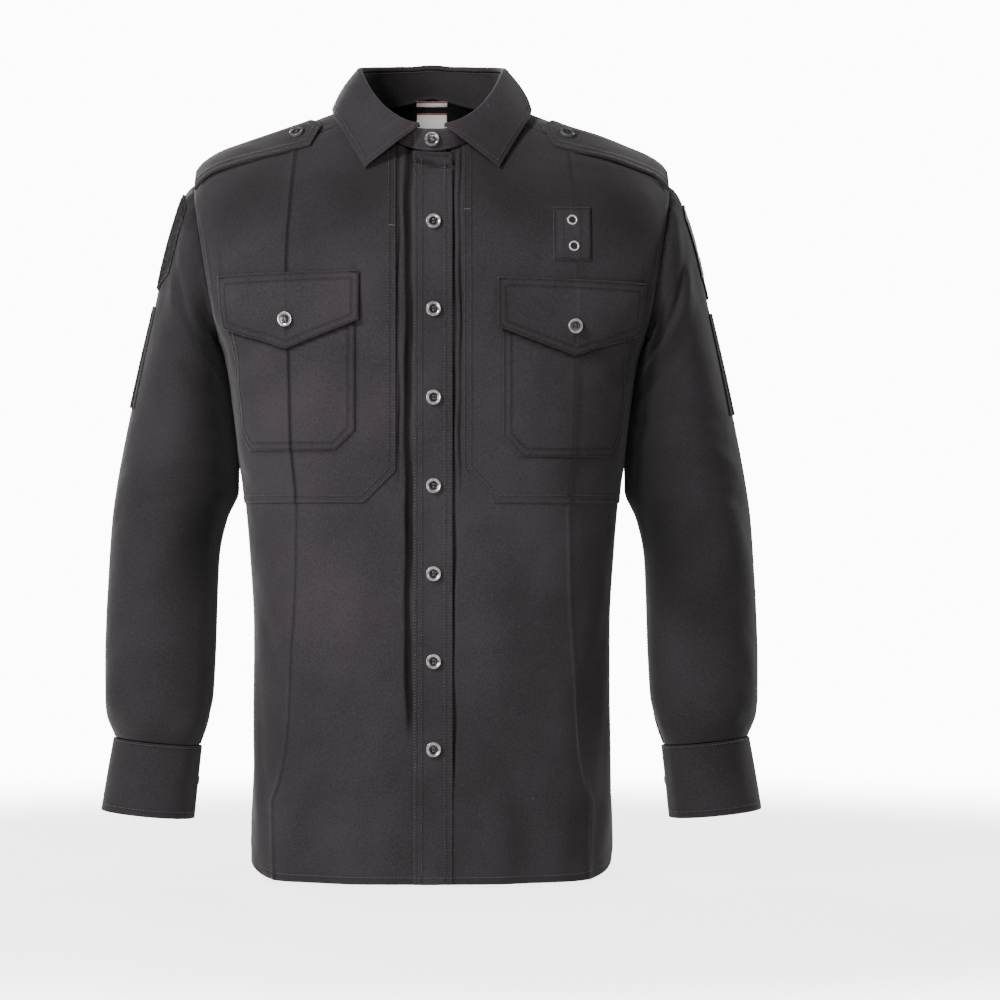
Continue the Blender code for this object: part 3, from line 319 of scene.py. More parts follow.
LEAF_EDGE_ROLL = ((0, 0.7, 2.6, LEAF_STITCH, 8.4), (-0.6, 0, 0.1, -0.15, 0.05))
LEAF_DEGREES = np.linspace(LEAF_START_DEGREES, 180, 172)
LEAF_SHARES = 90

# Shoulder straps in plan, from the armhole seam to the pointed end. Their patterns run along -x.
STRAP_COLUMNS = ("minus_x", "centre_y", "half_width")
STRAP = (
    (-231.5, -16, 21),
    (-226, -18, 21.5),
    (-215, -22, 21.5),
    (-195, -29, 21),
    (-170, -33, 20.5),
    (-140, -35, 20),
    (-119, -35, 20),
    (-108, -35, 7),
)
STRAP_WALL = 2.2
STRAP_LIFT = CHEST_LIFT + LAYER + 0.4 + STRAP_WALL
STRAP_ARCH = 2.2
STRAP_ARCH_REACH = 1.15
STRAP_BUTTON = -132
STRAP_CORNER = -119
STRAP_TIP = -108
STRAP_ROWS = (1.8, 7.4)

# Labels inside the back neck: half width, top and bottom
LABELS = (("upper", 16, 16, 11), ("lower", 15.5, 4.5, -30))
LABEL_WALL = 0.5

# Buttons
BUTTON_RADIUS = 7.2
BUTTON_THICKNESS = 3.0
BUTTON_DISH_RADIUS = 4.7
BUTTON_STEPS = ((1.1, 0), (0.9, -0.45), (1.0, -0.4), (0.9, -0.05))
BUTTON_HOLES = (-1.35, 1.35)
BUTTON_HOLE_RADIUS = 0.72
# Painted shade: the share of the rim's painted highlight kept on buttons that lie in shade
SHADED_RIM = 0.3
BUTTON_GAP = 0.3
BUTTON_CURVE_GAP = 0.2
COLLAR_BUTTON_HEIGHT = 12
PLACKET_BUTTON_TOP = -120.6
PLACKET_BUTTON_STEP = -85.1
PLACKET_BUTTONS = 7
BUTTON_ARC = 1.5

# Thread
STITCH_PITCH = 3.0
STITCH_LENGTH = 1.6
STITCH_HALF_WIDTH = 0.36
STITCH_HEIGHT = 0.34
STITCH_SINK = 0.15
STITCH_TAPER = 0.22
# Black stitches are drawn wide: partly black thread, partly painted shade of the stitch holes
HOLE_SHADE_HALF_WIDTH = 0.62
TACK_HALF_WIDTH = 0.9
TACK_STEP = 0.8
EDGE_STITCH = 1.8
INNER_STITCH = 7.8
SEAM_ROWS = (2.0, 8.0)
SIDE_SEAM_SPAN = (-736, -396)
FRONT_ARMHOLE_SPAN = (-224, -100)
BACK_ARMHOLE_SPAN = (-224, -112)
YOKE_BACK_ROWS = (0.985, 0.945)
YOKE_FRONT_ROWS = (-0.9, -0.55)
LEG_SAMPLES = 60

# Shade and tone of the cloth: chest shade is its middle, reach, depth and drag lines, and lower
# shade its top, reach and depth
SEAM_SHADE = 0.24
SHADE_TONE = 0.22
TONE_CONTRAST = 3.6
WEAVE_SCALE = 620.0
LINT_COLOUR = (0.35, 0.34, 0.33)
CHEST_SHADE = (-96, 84, 0.24, 0.22)
LOWER_SHADE = (-500, 130, 0.14)

# Soft folds: start and end in pattern millimetres, depth (a trough if negative), half width, bow
FRONT_FOLDS = (
    (-205, -250, -120, -205, -1.6, 15, 6),
    (-212, -285, -150, -262, 1.3, 16, -5),
    (-222, -330, -165, -372, 1.4, 20, 6),
    (-95, -560, -70, -430, 1.8, 30, 8),
    (-175, -470, -120, -640, 1.9, 26, -12),
    (-60, -600, -110, -735, -2.0, 30, 10),
    (-215, -560, -180, -745, 1.6, 20, 6),
    (-40, -762, -52, -640, 1.8, 22, 4),
    (-125, -762, -118, -680, -1.5, 20, -4),
    (205, -255, 125, -212, -1.5, 15, -6),
    (214, -300, 158, -270, 1.4, 15, 5),
    (200, -345, 150, -385, 1.2, 22, -6),
    (88, -580, 60, -450, 1.7, 32, -8),
    (185, -480, 128, -655, 1.7, 28, 12),
    (52, -610, 96, -740, -1.9, 30, -8),
    (216, -600, 186, -740, 1.7, 20, -6),
    (70, -762, 64, -660, 1.6, 24, 5),
    (140, -762, 150, -690, -1.4, 20, 4),
    (-60, -95, -150, -70, 0.9, 22, 4),
    (62, -98, 148, -76, 0.9, 24, -4),
)
BACK_FOLDS = (
    (-60, -150, -45, -330, -1.4, 34, 8),
    (70, -160, 52, -350, -1.3, 34, -8),
    (-110, -420, 60, -470, -1.6, 22, 16),
    (100, -400, -40, -440, -1.4, 20, -14),
    (-90, -520, 30, -550, 1.4, 24, 10),
    (-50, -762, -60, -600, 1.8, 30, 6),
    (45, -762, 30, -620, 1.9, 28, -6),
    (105, -762, 110, -640, -1.5, 22, 4),
    (-180, -300, -120, -420, 1.5, 22, 8),
    (190, -300, 130, -430, 1.5, 22, -8),
    (-190, -520, -165, -740, 1.6, 20, 6),
    (195, -540, 170, -745, 1.6, 22, -6),
)
SLEEVE_FOLDS = (
    (54, -26, 54, -150, -1.5, 20, -4),
    (90, -30, 106, -140, -1.8, 20, 5),
    (-70, -30, -80, -150, -2.0, 14, -6),
    (60, -40, 150, -118, -2.2, 17, 8),
    (72, -78, 158, -150, 2.0, 16, 8),
    (70, -122, 160, -186, -1.8, 16, 6),
    (-60, -44, -150, -120, -2.2, 18, -8),
    (-74, -84, -160, -160, 2.0, 16, -8),
    (40, -250, 150, -222, -1.6, 16, -8),
    (30, -300, 140, -262, 2.2, 17, -10),
    (20, -335, 135, -306, -1.8, 14, -8),
    (-40, -262, -148, -236, 1.8, 17, 8),
    (-30, -318, -140, -282, -2.0, 15, 10),
    (-20, -352, -120, -338, 1.6, 14, 6),
    (24, -420, 60, -300, 1.4, 26, 10),
    (-30, -470, -52, -370, -1.4, 22, -6),
    (60, -452, 18, -520, 1.3, 18, 6),
    (-64, -520, -28, -450, 1.2, 18, -6),
)
HEM_WAVES = (2.4, 86, 130)
FOLD_STRENGTH = 1.5
FRONT_FOLD_TOP = -36
RIGHT_FOLD_SHIFT = 14

# Below the armhole the sleeve and the torso lean on each other: heights, fade, reach and room left
LEAN_SPAN = (-224, -374, 28)
LEAN_REACH = 46
TOUCH = 0.3

# Channels of the fronts beside the placket: arc, half width, depth and where they fade out
CHANNELS = (
    (-23.0, 4.6, 4.2, -640),
    (-32.6, 1.9, 1.6, -400),
    (21.4, 2.2, 2.2, -700),
    (27.6, 1.9, 1.8, -400),
)

# Grid steps
SLIVER = 0.05
TABLE_STEP = 1.0
FOLD_FADE = 24
SHARES = 260
SOLVE_STEPS = 40


def blend(start, end, share):
    return start + (end - start) * share


def smooth_step(share):
    share = np.clip(share, 0.0, 1.0)
    return share * share * (3 - 2 * share)


def unit_vectors(vectors):
    return vectors / np.maximum(np.linalg.norm(vectors, axis=-1, keepdims=True), 1e-9)


def sample(places, keys, rows):
    """Rows of a table read at places along its keys."""
    return np.column_stack([np.interp(places, keys, column) for column in rows.T])


def ridge_profile(ratio):
    """1 on a fold's line, falling softly to 0 at its half width."""
    return (1 - np.clip(np.abs(ratio), 0, 1) ** 2) ** 2


def smooth_curves(columns, rows):
    """Smooth curves through a table's rows, over its first column, that never overshoot."""
    table = np.array(sorted(rows), float)
    keys = table[:, 0]
    gaps = np.diff(keys)
    fine = np.linspace(keys[0], keys[-1], 1601)
    k = np.clip(np.searchsorted(keys, fine, side="right") - 1, 0, len(gaps) - 1)
    t = (fine - keys[k]) / gaps[k]
    curves = {}
    for name, values in zip(columns[1:], table[:, 1:].T):
        slopes = np.diff(values) / gaps
        product, total = slopes[:-1] * slopes[1:], slopes[:-1] + slopes[1:]
        inner = np.where(product > 0, 2 * product / np.where(product > 0, total, 1), 0)
        tangents = np.concatenate((slopes[:1], inner, slopes[-1:]))
        curve = values[k] * (1 + 2 * t) * (1 - t) ** 2 + values[k + 1] * t * t * (3 - 2 * t)
        curve += gaps[k] * (tangents[k] * t * (1 - t) ** 2 + tangents[k + 1] * t * t * (t - 1))
        curves[name] = lambda key, curve=curve: np.interp(key, fine, curve)
    return curves


def table_row(columns, rows, first):
    return next(dict(zip(columns, row)) for row in rows if row[0] == first)


def read_table(table, row, column):
    """Bilinear reading of a table of points at fractional rows and columns."""
    row = np.clip(row, 0, table.shape[0] - 1.0001)
    column = np.clip(column, 0, table.shape[1] - 1.0001)
    i, j = row.astype(int), column.astype(int)
    f, g = (row - i)[..., None], (column - j)[..., None]
    low = blend(table[i, j], table[i, j + 1], g)
    return blend(low, blend(table[i + 1, j], table[i + 1, j + 1], g), f)


def lengths_along(points):
    steps = np.linalg.norm(np.diff(points, axis=0), axis=-1)
    return np.concatenate((np.zeros((1,) + steps.shape[1:]), np.cumsum(steps, axis=0)))


TORSO_CURVES = smooth_curves(TORSO_COLUMNS, TORSO)
PLEAT_CURVES = smooth_curves(PLEAT_COLUMNS, PLEAT)
SLEEVE_CURVES = smooth_curves(SLEEVE_COLUMNS, SLEEVE)
CUFF_CURVES = smooth_curves(CUFF_COLUMNS, CUFF)
STAND_CURVES = smooth_curves(STAND_COLUMNS, STAND)
LEAF_CURVES = smooth_curves(LEAF_COLUMNS, LEAF_EDGE)
STRAP_CURVES = smooth_curves(STRAP_COLUMNS, STRAP)
CREASE_CURVES = smooth_curves(CREASE_COLUMNS, CREASE)


# The body form

TORSO_HEIGHTS = np.arange(HEM_Z - 6, TORSO_TOP, TABLE_STEP)


def torso_tables(face):
    """Points at even shares of the arc from the centre line to the side, height by height."""
    turn = (1 - np.cos(np.linspace(0, math.pi, 501))) * math.pi / 4
    rows, totals = [], []
    for z in TORSO_HEIGHTS:
        power = 2 / TORSO_CURVES["roundness"](z)
        section = np.column_stack((TORSO_CURVES["half_width"](z) * np.sin(turn) ** power,
                                   TORSO_CURVES[face](z) * np.abs(np.cos(turn)) ** power))
        arc = lengths_along(section)
        rows.append(sample(np.linspace(0, 1, SHARES), arc / arc[-1], section))
        totals.append(arc[-1])
    return np.array(rows), np.array(totals)


FACES = {"front": torso_tables("front"), "back": torso_tables("back")}


def side_arc(z, face):
    return np.interp(z, TORSO_HEIGHTS, FACES[face][1])


def torso_point(arc, z, face):
    row = (z - TORSO_HEIGHTS[0]) / TABLE_STEP
    share = np.abs(arc) / side_arc(z, face)
    across, depth = np.moveaxis(read_table(FACES[face][0], row, share * (SHARES - 1)), -1, 0)
    forward = -depth if face == "front" else depth
    return np.stack((np.copysign(across, arc), forward, z), axis=-1)


def torso_arc(x, z, face):
    """Arc at a distance x from the middle, for single values."""
    points, totals = FACES[face]
    row = min(max((z - TORSO_HEIGHTS[0]) / TABLE_STEP, 0), len(TORSO_HEIGHTS) - 1.001)
    arcs = [np.interp(x, points[k, :, 0], np.linspace(0, 1, SHARES)) * totals[k]
            for k in (int(row), int(row) + 1)]
    return float(blend(arcs[0], arcs[1], row - int(row)))


def form_value(x, y, z):
    """Below 1 inside the body form, 1 on it, above 1 outside."""
    width, power = TORSO_CURVES["half_width"](z), TORSO_CURVES["roundness"](z)
    depth = np.where(y < 0, TORSO_CURVES["front"](z), TORSO_CURVES["back"](z))
    return (np.abs(x) / width) ** power + (np.abs(y) / depth) ** power


def section_depth(x, z, at_front):
    """Depth of the body form's front or back at a distance x from the middle."""
    power = TORSO_CURVES["roundness"](z)
    ratio = np.minimum(np.abs(x) / TORSO_CURVES["half_width"](z), 1)
    whole = np.where(at_front, TORSO_CURVES["front"](z), TORSO_CURVES["back"](z))
    return whole * (1 - ratio ** power) ** (1 / power)


def shoulder_height(x, y):
    """Height of the body form over places in plan, near the shoulders and neck."""
    low = np.full(np.shape(x), -300.0)
    high = np.full(np.shape(x), float(TORSO_TOP))
    for _ in range(SOLVE_STEPS):
        middle = (low + high) / 2
        outside = form_value(x, y, middle) > 1
        high = np.where(outside, middle, high)
        low = np.where(outside, low, middle)
    return (low + high) / 2


RIDGE_HEIGHTS = np.linspace(TORSO_TOP, ARMHOLE_TOP[1], 800)
RIDGE_WIDTHS = TORSO_CURVES["half_width"](RIDGE_HEIGHTS)


def ridge_height(x):
    """Height of the shoulder line at a distance x from the middle."""
    return np.interp(np.abs(x), RIDGE_WIDTHS, RIDGE_HEIGHTS)


def armhole_x(z):
    share = (z - ARMHOLE_LOW[1]) / (ARMHOLE_TOP[1] - ARMHOLE_LOW[1])
    return blend(ARMHOLE_LOW[0], ARMHOLE_TOP[0], share)


def neck_point(degrees):
    """Points of the neck seam, from 0 at the front to 180 at the back."""
    angle = np.radians(degrees)
    x = NECK_HALF_WIDTH * np.sin(angle)
    y = -np.cos(angle) * np.where(np.abs(degrees) <= 90, NECK_FRONT, NECK_BACK)
    return np.stack((x, y, shoulder_height(x, y)), axis=-1)


def neck_z(arc):
    return neck_point(np.degrees(np.arcsin(np.abs(arc) / NECK_HALF_WIDTH)))[..., 2]


def yoke_seam_z(x):
    return ridge_height(x) - YOKE_FRONT_DROP


def rising_zero(function, low, high):
    """The place between low and high where a rising function is zero."""
    for _ in range(SOLVE_STEPS):
        middle = (low + high) / 2
        low, high = (low, middle) if function(middle) > 0 else (middle, high)
    return (low + high) / 2


YOKE_END_X = rising_zero(lambda x: x - armhole_x(yoke_seam_z(x)), 200, 237)
YOKE_NECK_DEGREES = rising_zero(
    lambda a: neck_point(a)[2] - yoke_seam_z(neck_point(a)[0]), 20, 89)
ARMHOLE_MIDDLE = (ARMHOLE_TOP[1] + ARMHOLE_LOW[1]) / 2
ARMHOLE_HALF = (ARMHOLE_TOP[1] - ARMHOLE_LOW[1]) / 2


def armhole_turn(z):
    return math.degrees(math.acos((z - ARMHOLE_MIDDLE) / ARMHOLE_HALF))


def armhole_height(degrees):
    return ARMHOLE_MIDDLE + ARMHOLE_HALF * np.cos(np.radians(degrees))


def hem_height(share):
    """Height of the hem at a share of the arc from the centre line to the side seam."""
    rise = np.maximum(0, (share - HEM_RISE_START) / (1 - HEM_RISE_START))
    return HEM_Z + HEM_SIDE_RISE * rise ** HEM_RISE_POWER


# Folds

def folds(table, u, v):
    """Height of the soft folds of a table at pattern points."""
    height = np.zeros(np.broadcast(u, v).shape)
    for start_u, start_v, end_u, end_v, depth, width, bow in table:
        along = np.array((end_u - start_u, end_v - start_v), float)
        length = np.hypot(*along)
        along /= length
        run = ((u - start_u) * along[0] + (v - start_v) * along[1]) / length
        off = (u - start_u) * along[1] - (v - start_v) * along[0]
        off = off - bow * np.sin(math.pi * np.clip(run, 0, 1))
        beyond = np.maximum(np.abs(run - 0.5) - 0.5, 0) * length
        strength = 0.35 + 0.65 * np.sin(math.pi * np.clip(run, 0, 1))
        height += depth * strength * ridge_profile(np.hypot(off, beyond) / width)
    return height


def hem_waves(u, v, shift):
    """Slight flutes that run up from the free hem."""
    depth, length, reach = HEM_WAVES
    fade = smooth_step(1 - (v - HEM_Z) / reach)
    return depth * fade * np.sin(2 * math.pi * u / length + shift) * np.cos(u / 61 + 2 * shift)


def crease_arc(z):
    """Arc of the pressed crease on the front."""
    return np.interp(z, CREASE_HEIGHTS, CREASE_ARCS)


CREASE_HEIGHTS = np.arange(HEM_Z, -20, 6.0)
CREASE_ARCS = np.array([torso_arc(CREASE_CURVES["x"](z), z, "front") for z in CREASE_HEIGHTS])


def crease_relief(u, z):
    """A pressed fold: a step up from the middle, falling away softly towards the side."""
    off = np.abs(u) - crease_arc(z)
    return CREASE_HEIGHT * np.where(off < CREASE_STEP, smooth_step(off / CREASE_STEP + 0.5),
                                    smooth_step(1 - (off - CREASE_STEP) / CREASE_WIDTH))


def edge_arcs(face):
    """Arc of the armhole edge or the side seam at each height."""
    return np.array([torso_arc(armhole_x(z) if z > ARMHOLE_LOW[1] else 999, z, face)
                     for z in TORSO_HEIGHTS])


EDGE_ARCS = {"front": edge_arcs("front"), "back": edge_arcs("back")}


def edge_arc(z, face="front"):
    """Arc of the armhole edge or the side seam at a height."""
    return np.interp(z, TORSO_HEIGHTS, EDGE_ARCS[face])


def calm(u, z, face, top):
    """Folds die out towards the side, armhole and upper seams."""
    side = edge_arc(z, face) - np.abs(u)
    return smooth_step(side / FOLD_FADE) * smooth_step((top - z) / FOLD_FADE)


def lean(z):
    """Half of the room between torso and sleeve, where they lean on each other."""
    inner_z, inner_x = INNER_LINE
    room = np.interp(z, inner_z, inner_x) + SLEEVE_GAP - TORSO_CURVES["half_width"](z) - TOUCH
    high, low, fade = LEAN_SPAN
    return np.maximum(room, 0) / 2 * smooth_step((high - z) / 4) * smooth_step((z - low) / fade)


INNER_LINE = [np.array([row[k] for row in SLEEVE[::-1]], float) for k in (4, 3)]


def side_lean(u, z, face):
    """The torso's side swells a little towards the sleeve."""
    return lean(z) * ridge_profile((edge_arc(z, face) - np.abs(u)) / LEAN_REACH)


def below_collar(z):
    """0 under the collar and 1 below it."""
    return smooth_step((CREASE_TOP - z) / CREASE_TOP_FADE)


def front_relief(u, z):
    soft = FOLD_STRENGTH * folds(FRONT_FOLDS, u, z) + hem_waves(u, z, 0.7)
    soft = soft * calm(u, z, "front", FRONT_FOLD_TOP) + side_lean(u, z, "front")
    return soft + crease_relief(u, z) * below_collar(z)


def channel_relief(u, z):
    """Furrows of the fronts beside the placket, deepest at its free edge."""
    height = np.zeros(np.broadcast(u, z).shape)
    for middle, width, depth, low in CHANNELS:
        wander = 0.7 * np.sin(z / 31 + middle) + 0.4 * np.sin(z / 12.3)
        uneven = 0.72 + 0.28 * np.sin(z / 26 + middle / 3)
        fade = smooth_step((z - low) / 90) * smooth_step((-34 - z) / 24)
        height -= depth * uneven * fade * ridge_profile((u - middle - wander) / width)
    return height


def back_relief(u, z):
    soft = FOLD_STRENGTH * folds(BACK_FOLDS, u, z) + hem_waves(u, z, 2.1)
    return soft * calm(u, z, "back", YOKE_BACK_Z) + side_lean(u, z, "back")


# Forms that cloth lies on

class Form:
    """A smooth base, its outward side and its soft folds."""

    def __init__(self, base, outward, relief=None, steps=(0.8, 0.8)):
        self.base, self.outward, self.relief, self.steps = base, outward, relief, steps

    def at(self, u, v, lift=0.0):
        """Points and outward normals at pattern points, a height above the form."""
        u, v = np.asarray(u, float), np.asarray(v, float)
        du, dv = self.steps
        across = self.base(u + du, v) - self.base(u - du, v)
        up = self.base(u, v + dv) - self.base(u, v - dv)
        normal = unit_vectors(np.cross(across, up) * self.outward)
        proud = lift(u, v) if callable(lift) else lift
        if self.relief is not None:
            proud = proud + self.relief(u, v)
        return self.base(u, v) + normal * np.asarray(proud, float)[..., None], normal

    def spot(self, u, v, lift=0.0):
        """A single point and its normal."""
        point, normal = self.at([float(u)], [float(v)], lift)
        return point[0], normal[0]


def mirrored(point, side):
    return point * np.array((side, 1, 1))


def torso_form(face, side=1, channelled=False):
    outward = side if face == "front" else -side

    def relief(u, v):
        if face == "back":
            return back_relief(side * u, v)
        return front_relief(side * u, v) + (channel_relief(side * u, v) if channelled else 0)

    return Form(lambda u, v: torso_point(side * u, v, face), outward, relief)


def yoke_drop(x, back):
    return np.where(back, ridge_height(x) - YOKE_BACK_Z - SEAM, YOKE_FRONT_DROP - SEAM)


def yoke_base(x, turn):
    """Turn is 1 at the back seam, 0 on the shoulder line and -1 at the front seam."""
    z = ridge_height(x) - yoke_drop(x, turn > 0) * turn * turn
    return np.stack((x, np.copysign(section_depth(x, z, turn <= 0), turn), z), axis=-1)


def yoke_turn(x, z, back):
    turn = np.sqrt(np.maximum(ridge_height(x) - z, 0) / yoke_drop(x, back))
    return np.where(back, turn, -turn)


def ring_point(degrees, station):
    """Points of the sleeve's rings, from 0 on the outer line, with the front at 90."""
    at = {name: curve(station) for name, curve in SLEEVE_CURVES.items()}
    angle = np.radians(degrees)
    along, forward = (np.copysign(np.abs(part) ** (2 / SLEEVE_ROUNDNESS), part)
                      for part in (np.cos(angle), np.sin(angle)))
    share = (1 + along) / 2
    x, z = (blend(at["inner_" + axis], at["outer_" + axis], share) for axis in "xz")
    height = blend(ARMHOLE_LOW[1], ARMHOLE_TOP[1], share)
    armhole_y = -np.copysign(section_depth(armhole_x(height), height, forward > 0), forward)
    start_y = SLEEVE_CURVES["centre_y"](0) - SLEEVE_CURVES["half_depth"](0) * forward
    y = at["centre_y"] - at["half_depth"] * forward
    y = y + (armhole_y - start_y) * np.maximum(1 - station / ARMHOLE_FADE, 0) ** 2
    point = np.stack((x, y, z), axis=-1)
    gather = GATHER_DEPTH * np.maximum(0, 1 - np.abs(station - GATHER_STATION))
    gather = gather * np.cos(GATHERS * angle)
    middle = np.stack(((at["outer_x"] + at["inner_x"]) / 2, at["centre_y"],
                       (at["outer_z"] + at["inner_z"]) / 2), axis=-1)
    return point + unit_vectors(point - middle) * gather[..., None] + np.array((SLEEVE_GAP, 0, 0))


def sleeve_tables():
    """Points of every ring at even shares of its front and back arcs, and the arcs' lengths."""
    stations = np.linspace(0, SLEEVE[-1][0], 281)
    points = ring_point(RING_DEGREES[:, None], stations[None, :])
    arcs = lengths_along(points)
    arcs = arcs - arcs[RING_MIDDLE]
    shares = np.linspace(-1, 1, len(RING_DEGREES))
    rows = []
    for k in range(len(stations)):
        wanted = np.where(shares < 0, -shares * arcs[0, k], shares * arcs[-1, k])
        rows.append(sample(wanted, arcs[:, k], points[:, k]))
    return stations, lengths_along(points[RING_MIDDLE]), -arcs[0], arcs[-1], np.array(rows), arcs


STATIONS, SLEEVE_LENGTHS, BACK_ARCS, FRONT_ARCS, SLEEVE_POINTS, RING_ARCS = sleeve_tables()
SLEEVE_LENGTH = float(SLEEVE_LENGTHS[-1])


def sleeve_half(arc, height):
    """Length of half a sleeve ring, at the back for arcs below 0 and else at the front."""
    return np.where(arc < 0, np.interp(-height, SLEEVE_LENGTHS, BACK_ARCS),
                    np.interp(-height, SLEEVE_LENGTHS, FRONT_ARCS))


def sleeve_base(arc, height):
    """Height is minus the length down from the sleeve head."""
    row = np.interp(-height, SLEEVE_LENGTHS, np.arange(len(STATIONS)))
    return read_table(SLEEVE_POINTS, row, (arc / sleeve_half(arc, height) + 1) * RING_MIDDLE)


def ring_arc(degrees, station):
    """Arc from the outer line at an angle, for single values."""
    k = int(round(station / STATIONS[-1] * (len(STATIONS) - 1)))
    return float(np.interp(degrees, RING_DEGREES, RING_ARCS[:, k]))


def sleeve_relief(side):
    """Folds, and the ripples of the sleeve head's ease below the armhole seam."""
    def relief(arc, height):
        head = ridge_profile(height / EASE_REACH) * smooth_step(-height / 4)
        head = head * smooth_step(1.6 - np.abs(arc) / 110)
        ripples = EASE_DEPTH * head * np.sin(arc * 2 * math.pi / EASE_RIPPLES + np.sin(arc / 17))
        half = np.interp(-height, SLEEVE_LENGTHS, np.minimum(BACK_ARCS, FRONT_ARCS))
        fade = smooth_step(-height / 30) * smooth_step((SLEEVE_LENGTH + height) / 16)
        soft = folds(SLEEVE_FOLDS, arc, height + (0 if side > 0 else RIGHT_FOLD_SHIFT))
        inner_z = SLEEVE_CURVES["inner_z"](np.interp(-height, SLEEVE_LENGTHS, STATIONS))
        swell = lean(inner_z) * ridge_profile(
            (sleeve_half(arc, height) - np.abs(arc)) / LEAN_REACH)
        return (ripples + soft * fade) * smooth_step((half - np.abs(arc)) / FOLD_FADE) + swell
    return relief


def sleeve_form(side):
    return Form(lambda u, v: mirrored(sleeve_base(u, v), side), -side, sleeve_relief(side),
                (1.5, 1.5))


def cuff_base(turned, height):
    angle = np.radians(VENT_DEGREES - CUFF_LAP_DEGREES / 2 + turned)
    at = {name: curve(-height / CUFF_LENGTH) for name, curve in CUFF_CURVES.items()}
    share = (1 + np.cos(angle)) / 2
    x, z = (blend(at["inner_" + axis], at["outer_" + axis], share) for axis in "xz")
    return np.stack((x + SLEEVE_GAP, at["centre_y"] - at["half_depth"] * np.sin(angle), z), axis=-1)


def cuff_lift(turned, _height=0):
    """The lapped end climbs over the start of the cuff."""
    start, ramp = CUFF_RAMP
    return CUFF_LAP_LIFT * smooth_step((turned - 360 + start) / ramp)


def to_side(point, degrees):
    """Mirrors points of the wearer's left half to the right where the angle is below 0."""
    point[..., 0] = np.where(degrees < 0, -point[..., 0], point[..., 0])
    return point


def stand_top(degrees):
    base = neck_point(np.abs(degrees))
    inward = -unit_vectors(base * np.array((1, 1, 0)))
    lean = STAND_LEAN * np.sin(np.radians(np.minimum(np.abs(degrees), 90)))
    top = base + inward * lean[..., None]
    top[..., 2] += STAND_CURVES["height"](np.abs(degrees))
    return to_side(top, degrees)


def stand_base(turned, share):
    """Turns run from the lapping end, through the wearer's left, round to the under end."""
    degrees = np.where(turned <= 180, turned, turned - 360)
    base = to_side(neck_point(np.abs(degrees)), degrees)
    base[..., 2] += STAND_CLEAR
    return blend(base, stand_top(degrees), share[..., None])


def stand_lift(turned, _share=0):
    """The wearer's left end laps over the right end at the front."""
    return STAND_LAP_LIFT * smooth_step((STAND_RAMP_END - turned) / STAND_RAMP)


def leaf_table():
    """The leaf from the stand's top, over the fold, to its free edge, at each degree."""
    top = stand_top(LEAF_DEGREES)
    out = unit_vectors(top * np.array((1, 1, 0)))
    top += out * stand_lift(LEAF_DEGREES)[:, None]
    points = [top + out * step[0] + np.array((0, 0, step[1])) for step in LEAF_ROLL]
    edge = np.stack([LEAF_CURVES[axis](LEAF_DEGREES) for axis in "xyz"], axis=-1)
    roll = points[-1]
    for share in LEAF_FALL:
        points.append(blend(roll, edge, share) + out * LEAF_FULLNESS * math.sin(math.pi * share))
    points = np.array(points)
    first, last = 2 * points[0] - points[1], 2 * points[-1] - points[-2]
    ends = np.concatenate((first[None], points, last[None]))
    fine = []
    for t in np.linspace(0, len(points) - 1.0001, LEAF_SHARES):
        k, f = int(t), t - int(t)
        a, b, c, d = ends[k:k + 4]
        fine.append(0.5 * (2 * b + (c - a) * f + (2 * a - 5 * b + 4 * c - d) * f * f
                           + (3 * b - a - 3 * c + d) * f ** 3))
    fine = np.array(fine)
    lengths = lengths_along(fine)
    even = np.linspace(0, 1, LEAF_SHARES)
    columns = np.array([sample(even, lengths[:, k] / lengths[-1, k], fine[:, k])
                        for k in range(len(LEAF_DEGREES))])
    columns[-1, :, 0] = 0
    return columns


LEAF_POINTS = leaf_table()


def leaf_base(turned, share):
    """Turns run from 9 at the wearer's left point, round the back at 180, to 351."""
    degrees = np.where(turned <= 180, turned, 360 - turned)
    point = read_table(LEAF_POINTS, degrees - LEAF_START_DEGREES, share * (LEAF_SHARES - 1))
    return point * np.where(turned <= 180, 1, -1)[..., None] ** np.array((1, 0, 0))


def strap_lift(_across, minus_x):
    share = (minus_x - STRAP[0][0]) / (STRAP[-1][0] - STRAP[0][0])
    arch = np.sin(math.pi * np.clip(share * STRAP_ARCH_REACH, 0, 1)) ** 2
    return STRAP_LIFT + STRAP_ARCH * arch


# Patterns

def even_grid(low_u, high_u, low_v, high_v, step):
    return np.meshgrid(*(np.linspace(low, high, max(2, int((high - low) / step) + 1))
                         for low, high in ((low_u, high_u), (low_v, high_v))))


def rectangle(left, right, bottom, top):
    return [(left, top), (left, bottom), (right, bottom), (right, top)]


def legs_of(outline):
    return list(zip(outline, outline[1:] + outline[:1]))


def bisect(mesh, start, end, clear, reach=None):
    """Scores a flat pattern along a line, or cuts off what lies to the line's right."""
    direction = Vector((end[0] - start[0], 0, end[1] - start[1])).normalized()
    away = Vector((direction.z, 0, -direction.x))
    faces = mesh.faces[:]
    if reach is not None:
        low = [min(a, b) - reach for a, b in zip(start, end)]
        high = [max(a, b) + reach for a, b in zip(start, end)]
        faces = [face for face in faces
                 if any(low[0] < vert.co.x < high[0] and low[1] < vert.co.z < high[1]
                        for vert in face.verts)]
    edges = list(dict.fromkeys(edge for face in faces for edge in face.edges))
    verts = list(dict.fromkeys(vert for face in faces for vert in face.verts))
    bmesh.ops.bisect_plane(mesh, geom=verts + edges + faces, dist=0.01,
                           plane_co=(start[0], 0, start[1]), plane_no=away, clear_outer=clear)


def inset(outline, distance):
    """An anticlockwise outline moved inwards, with its corners kept sharp."""
    corners = np.array(outline, float)
    before = unit_vectors(corners - np.roll(corners, 1, axis=0))
    after = unit_vectors(np.roll(corners, -1, axis=0) - corners)
    inward = (before + after)[:, ::-1] * (-1, 1)
    cosine = (1 + (before * after).sum(axis=1))[:, None]
    return [tuple(corner) for corner in corners + inward / cosine * distance]


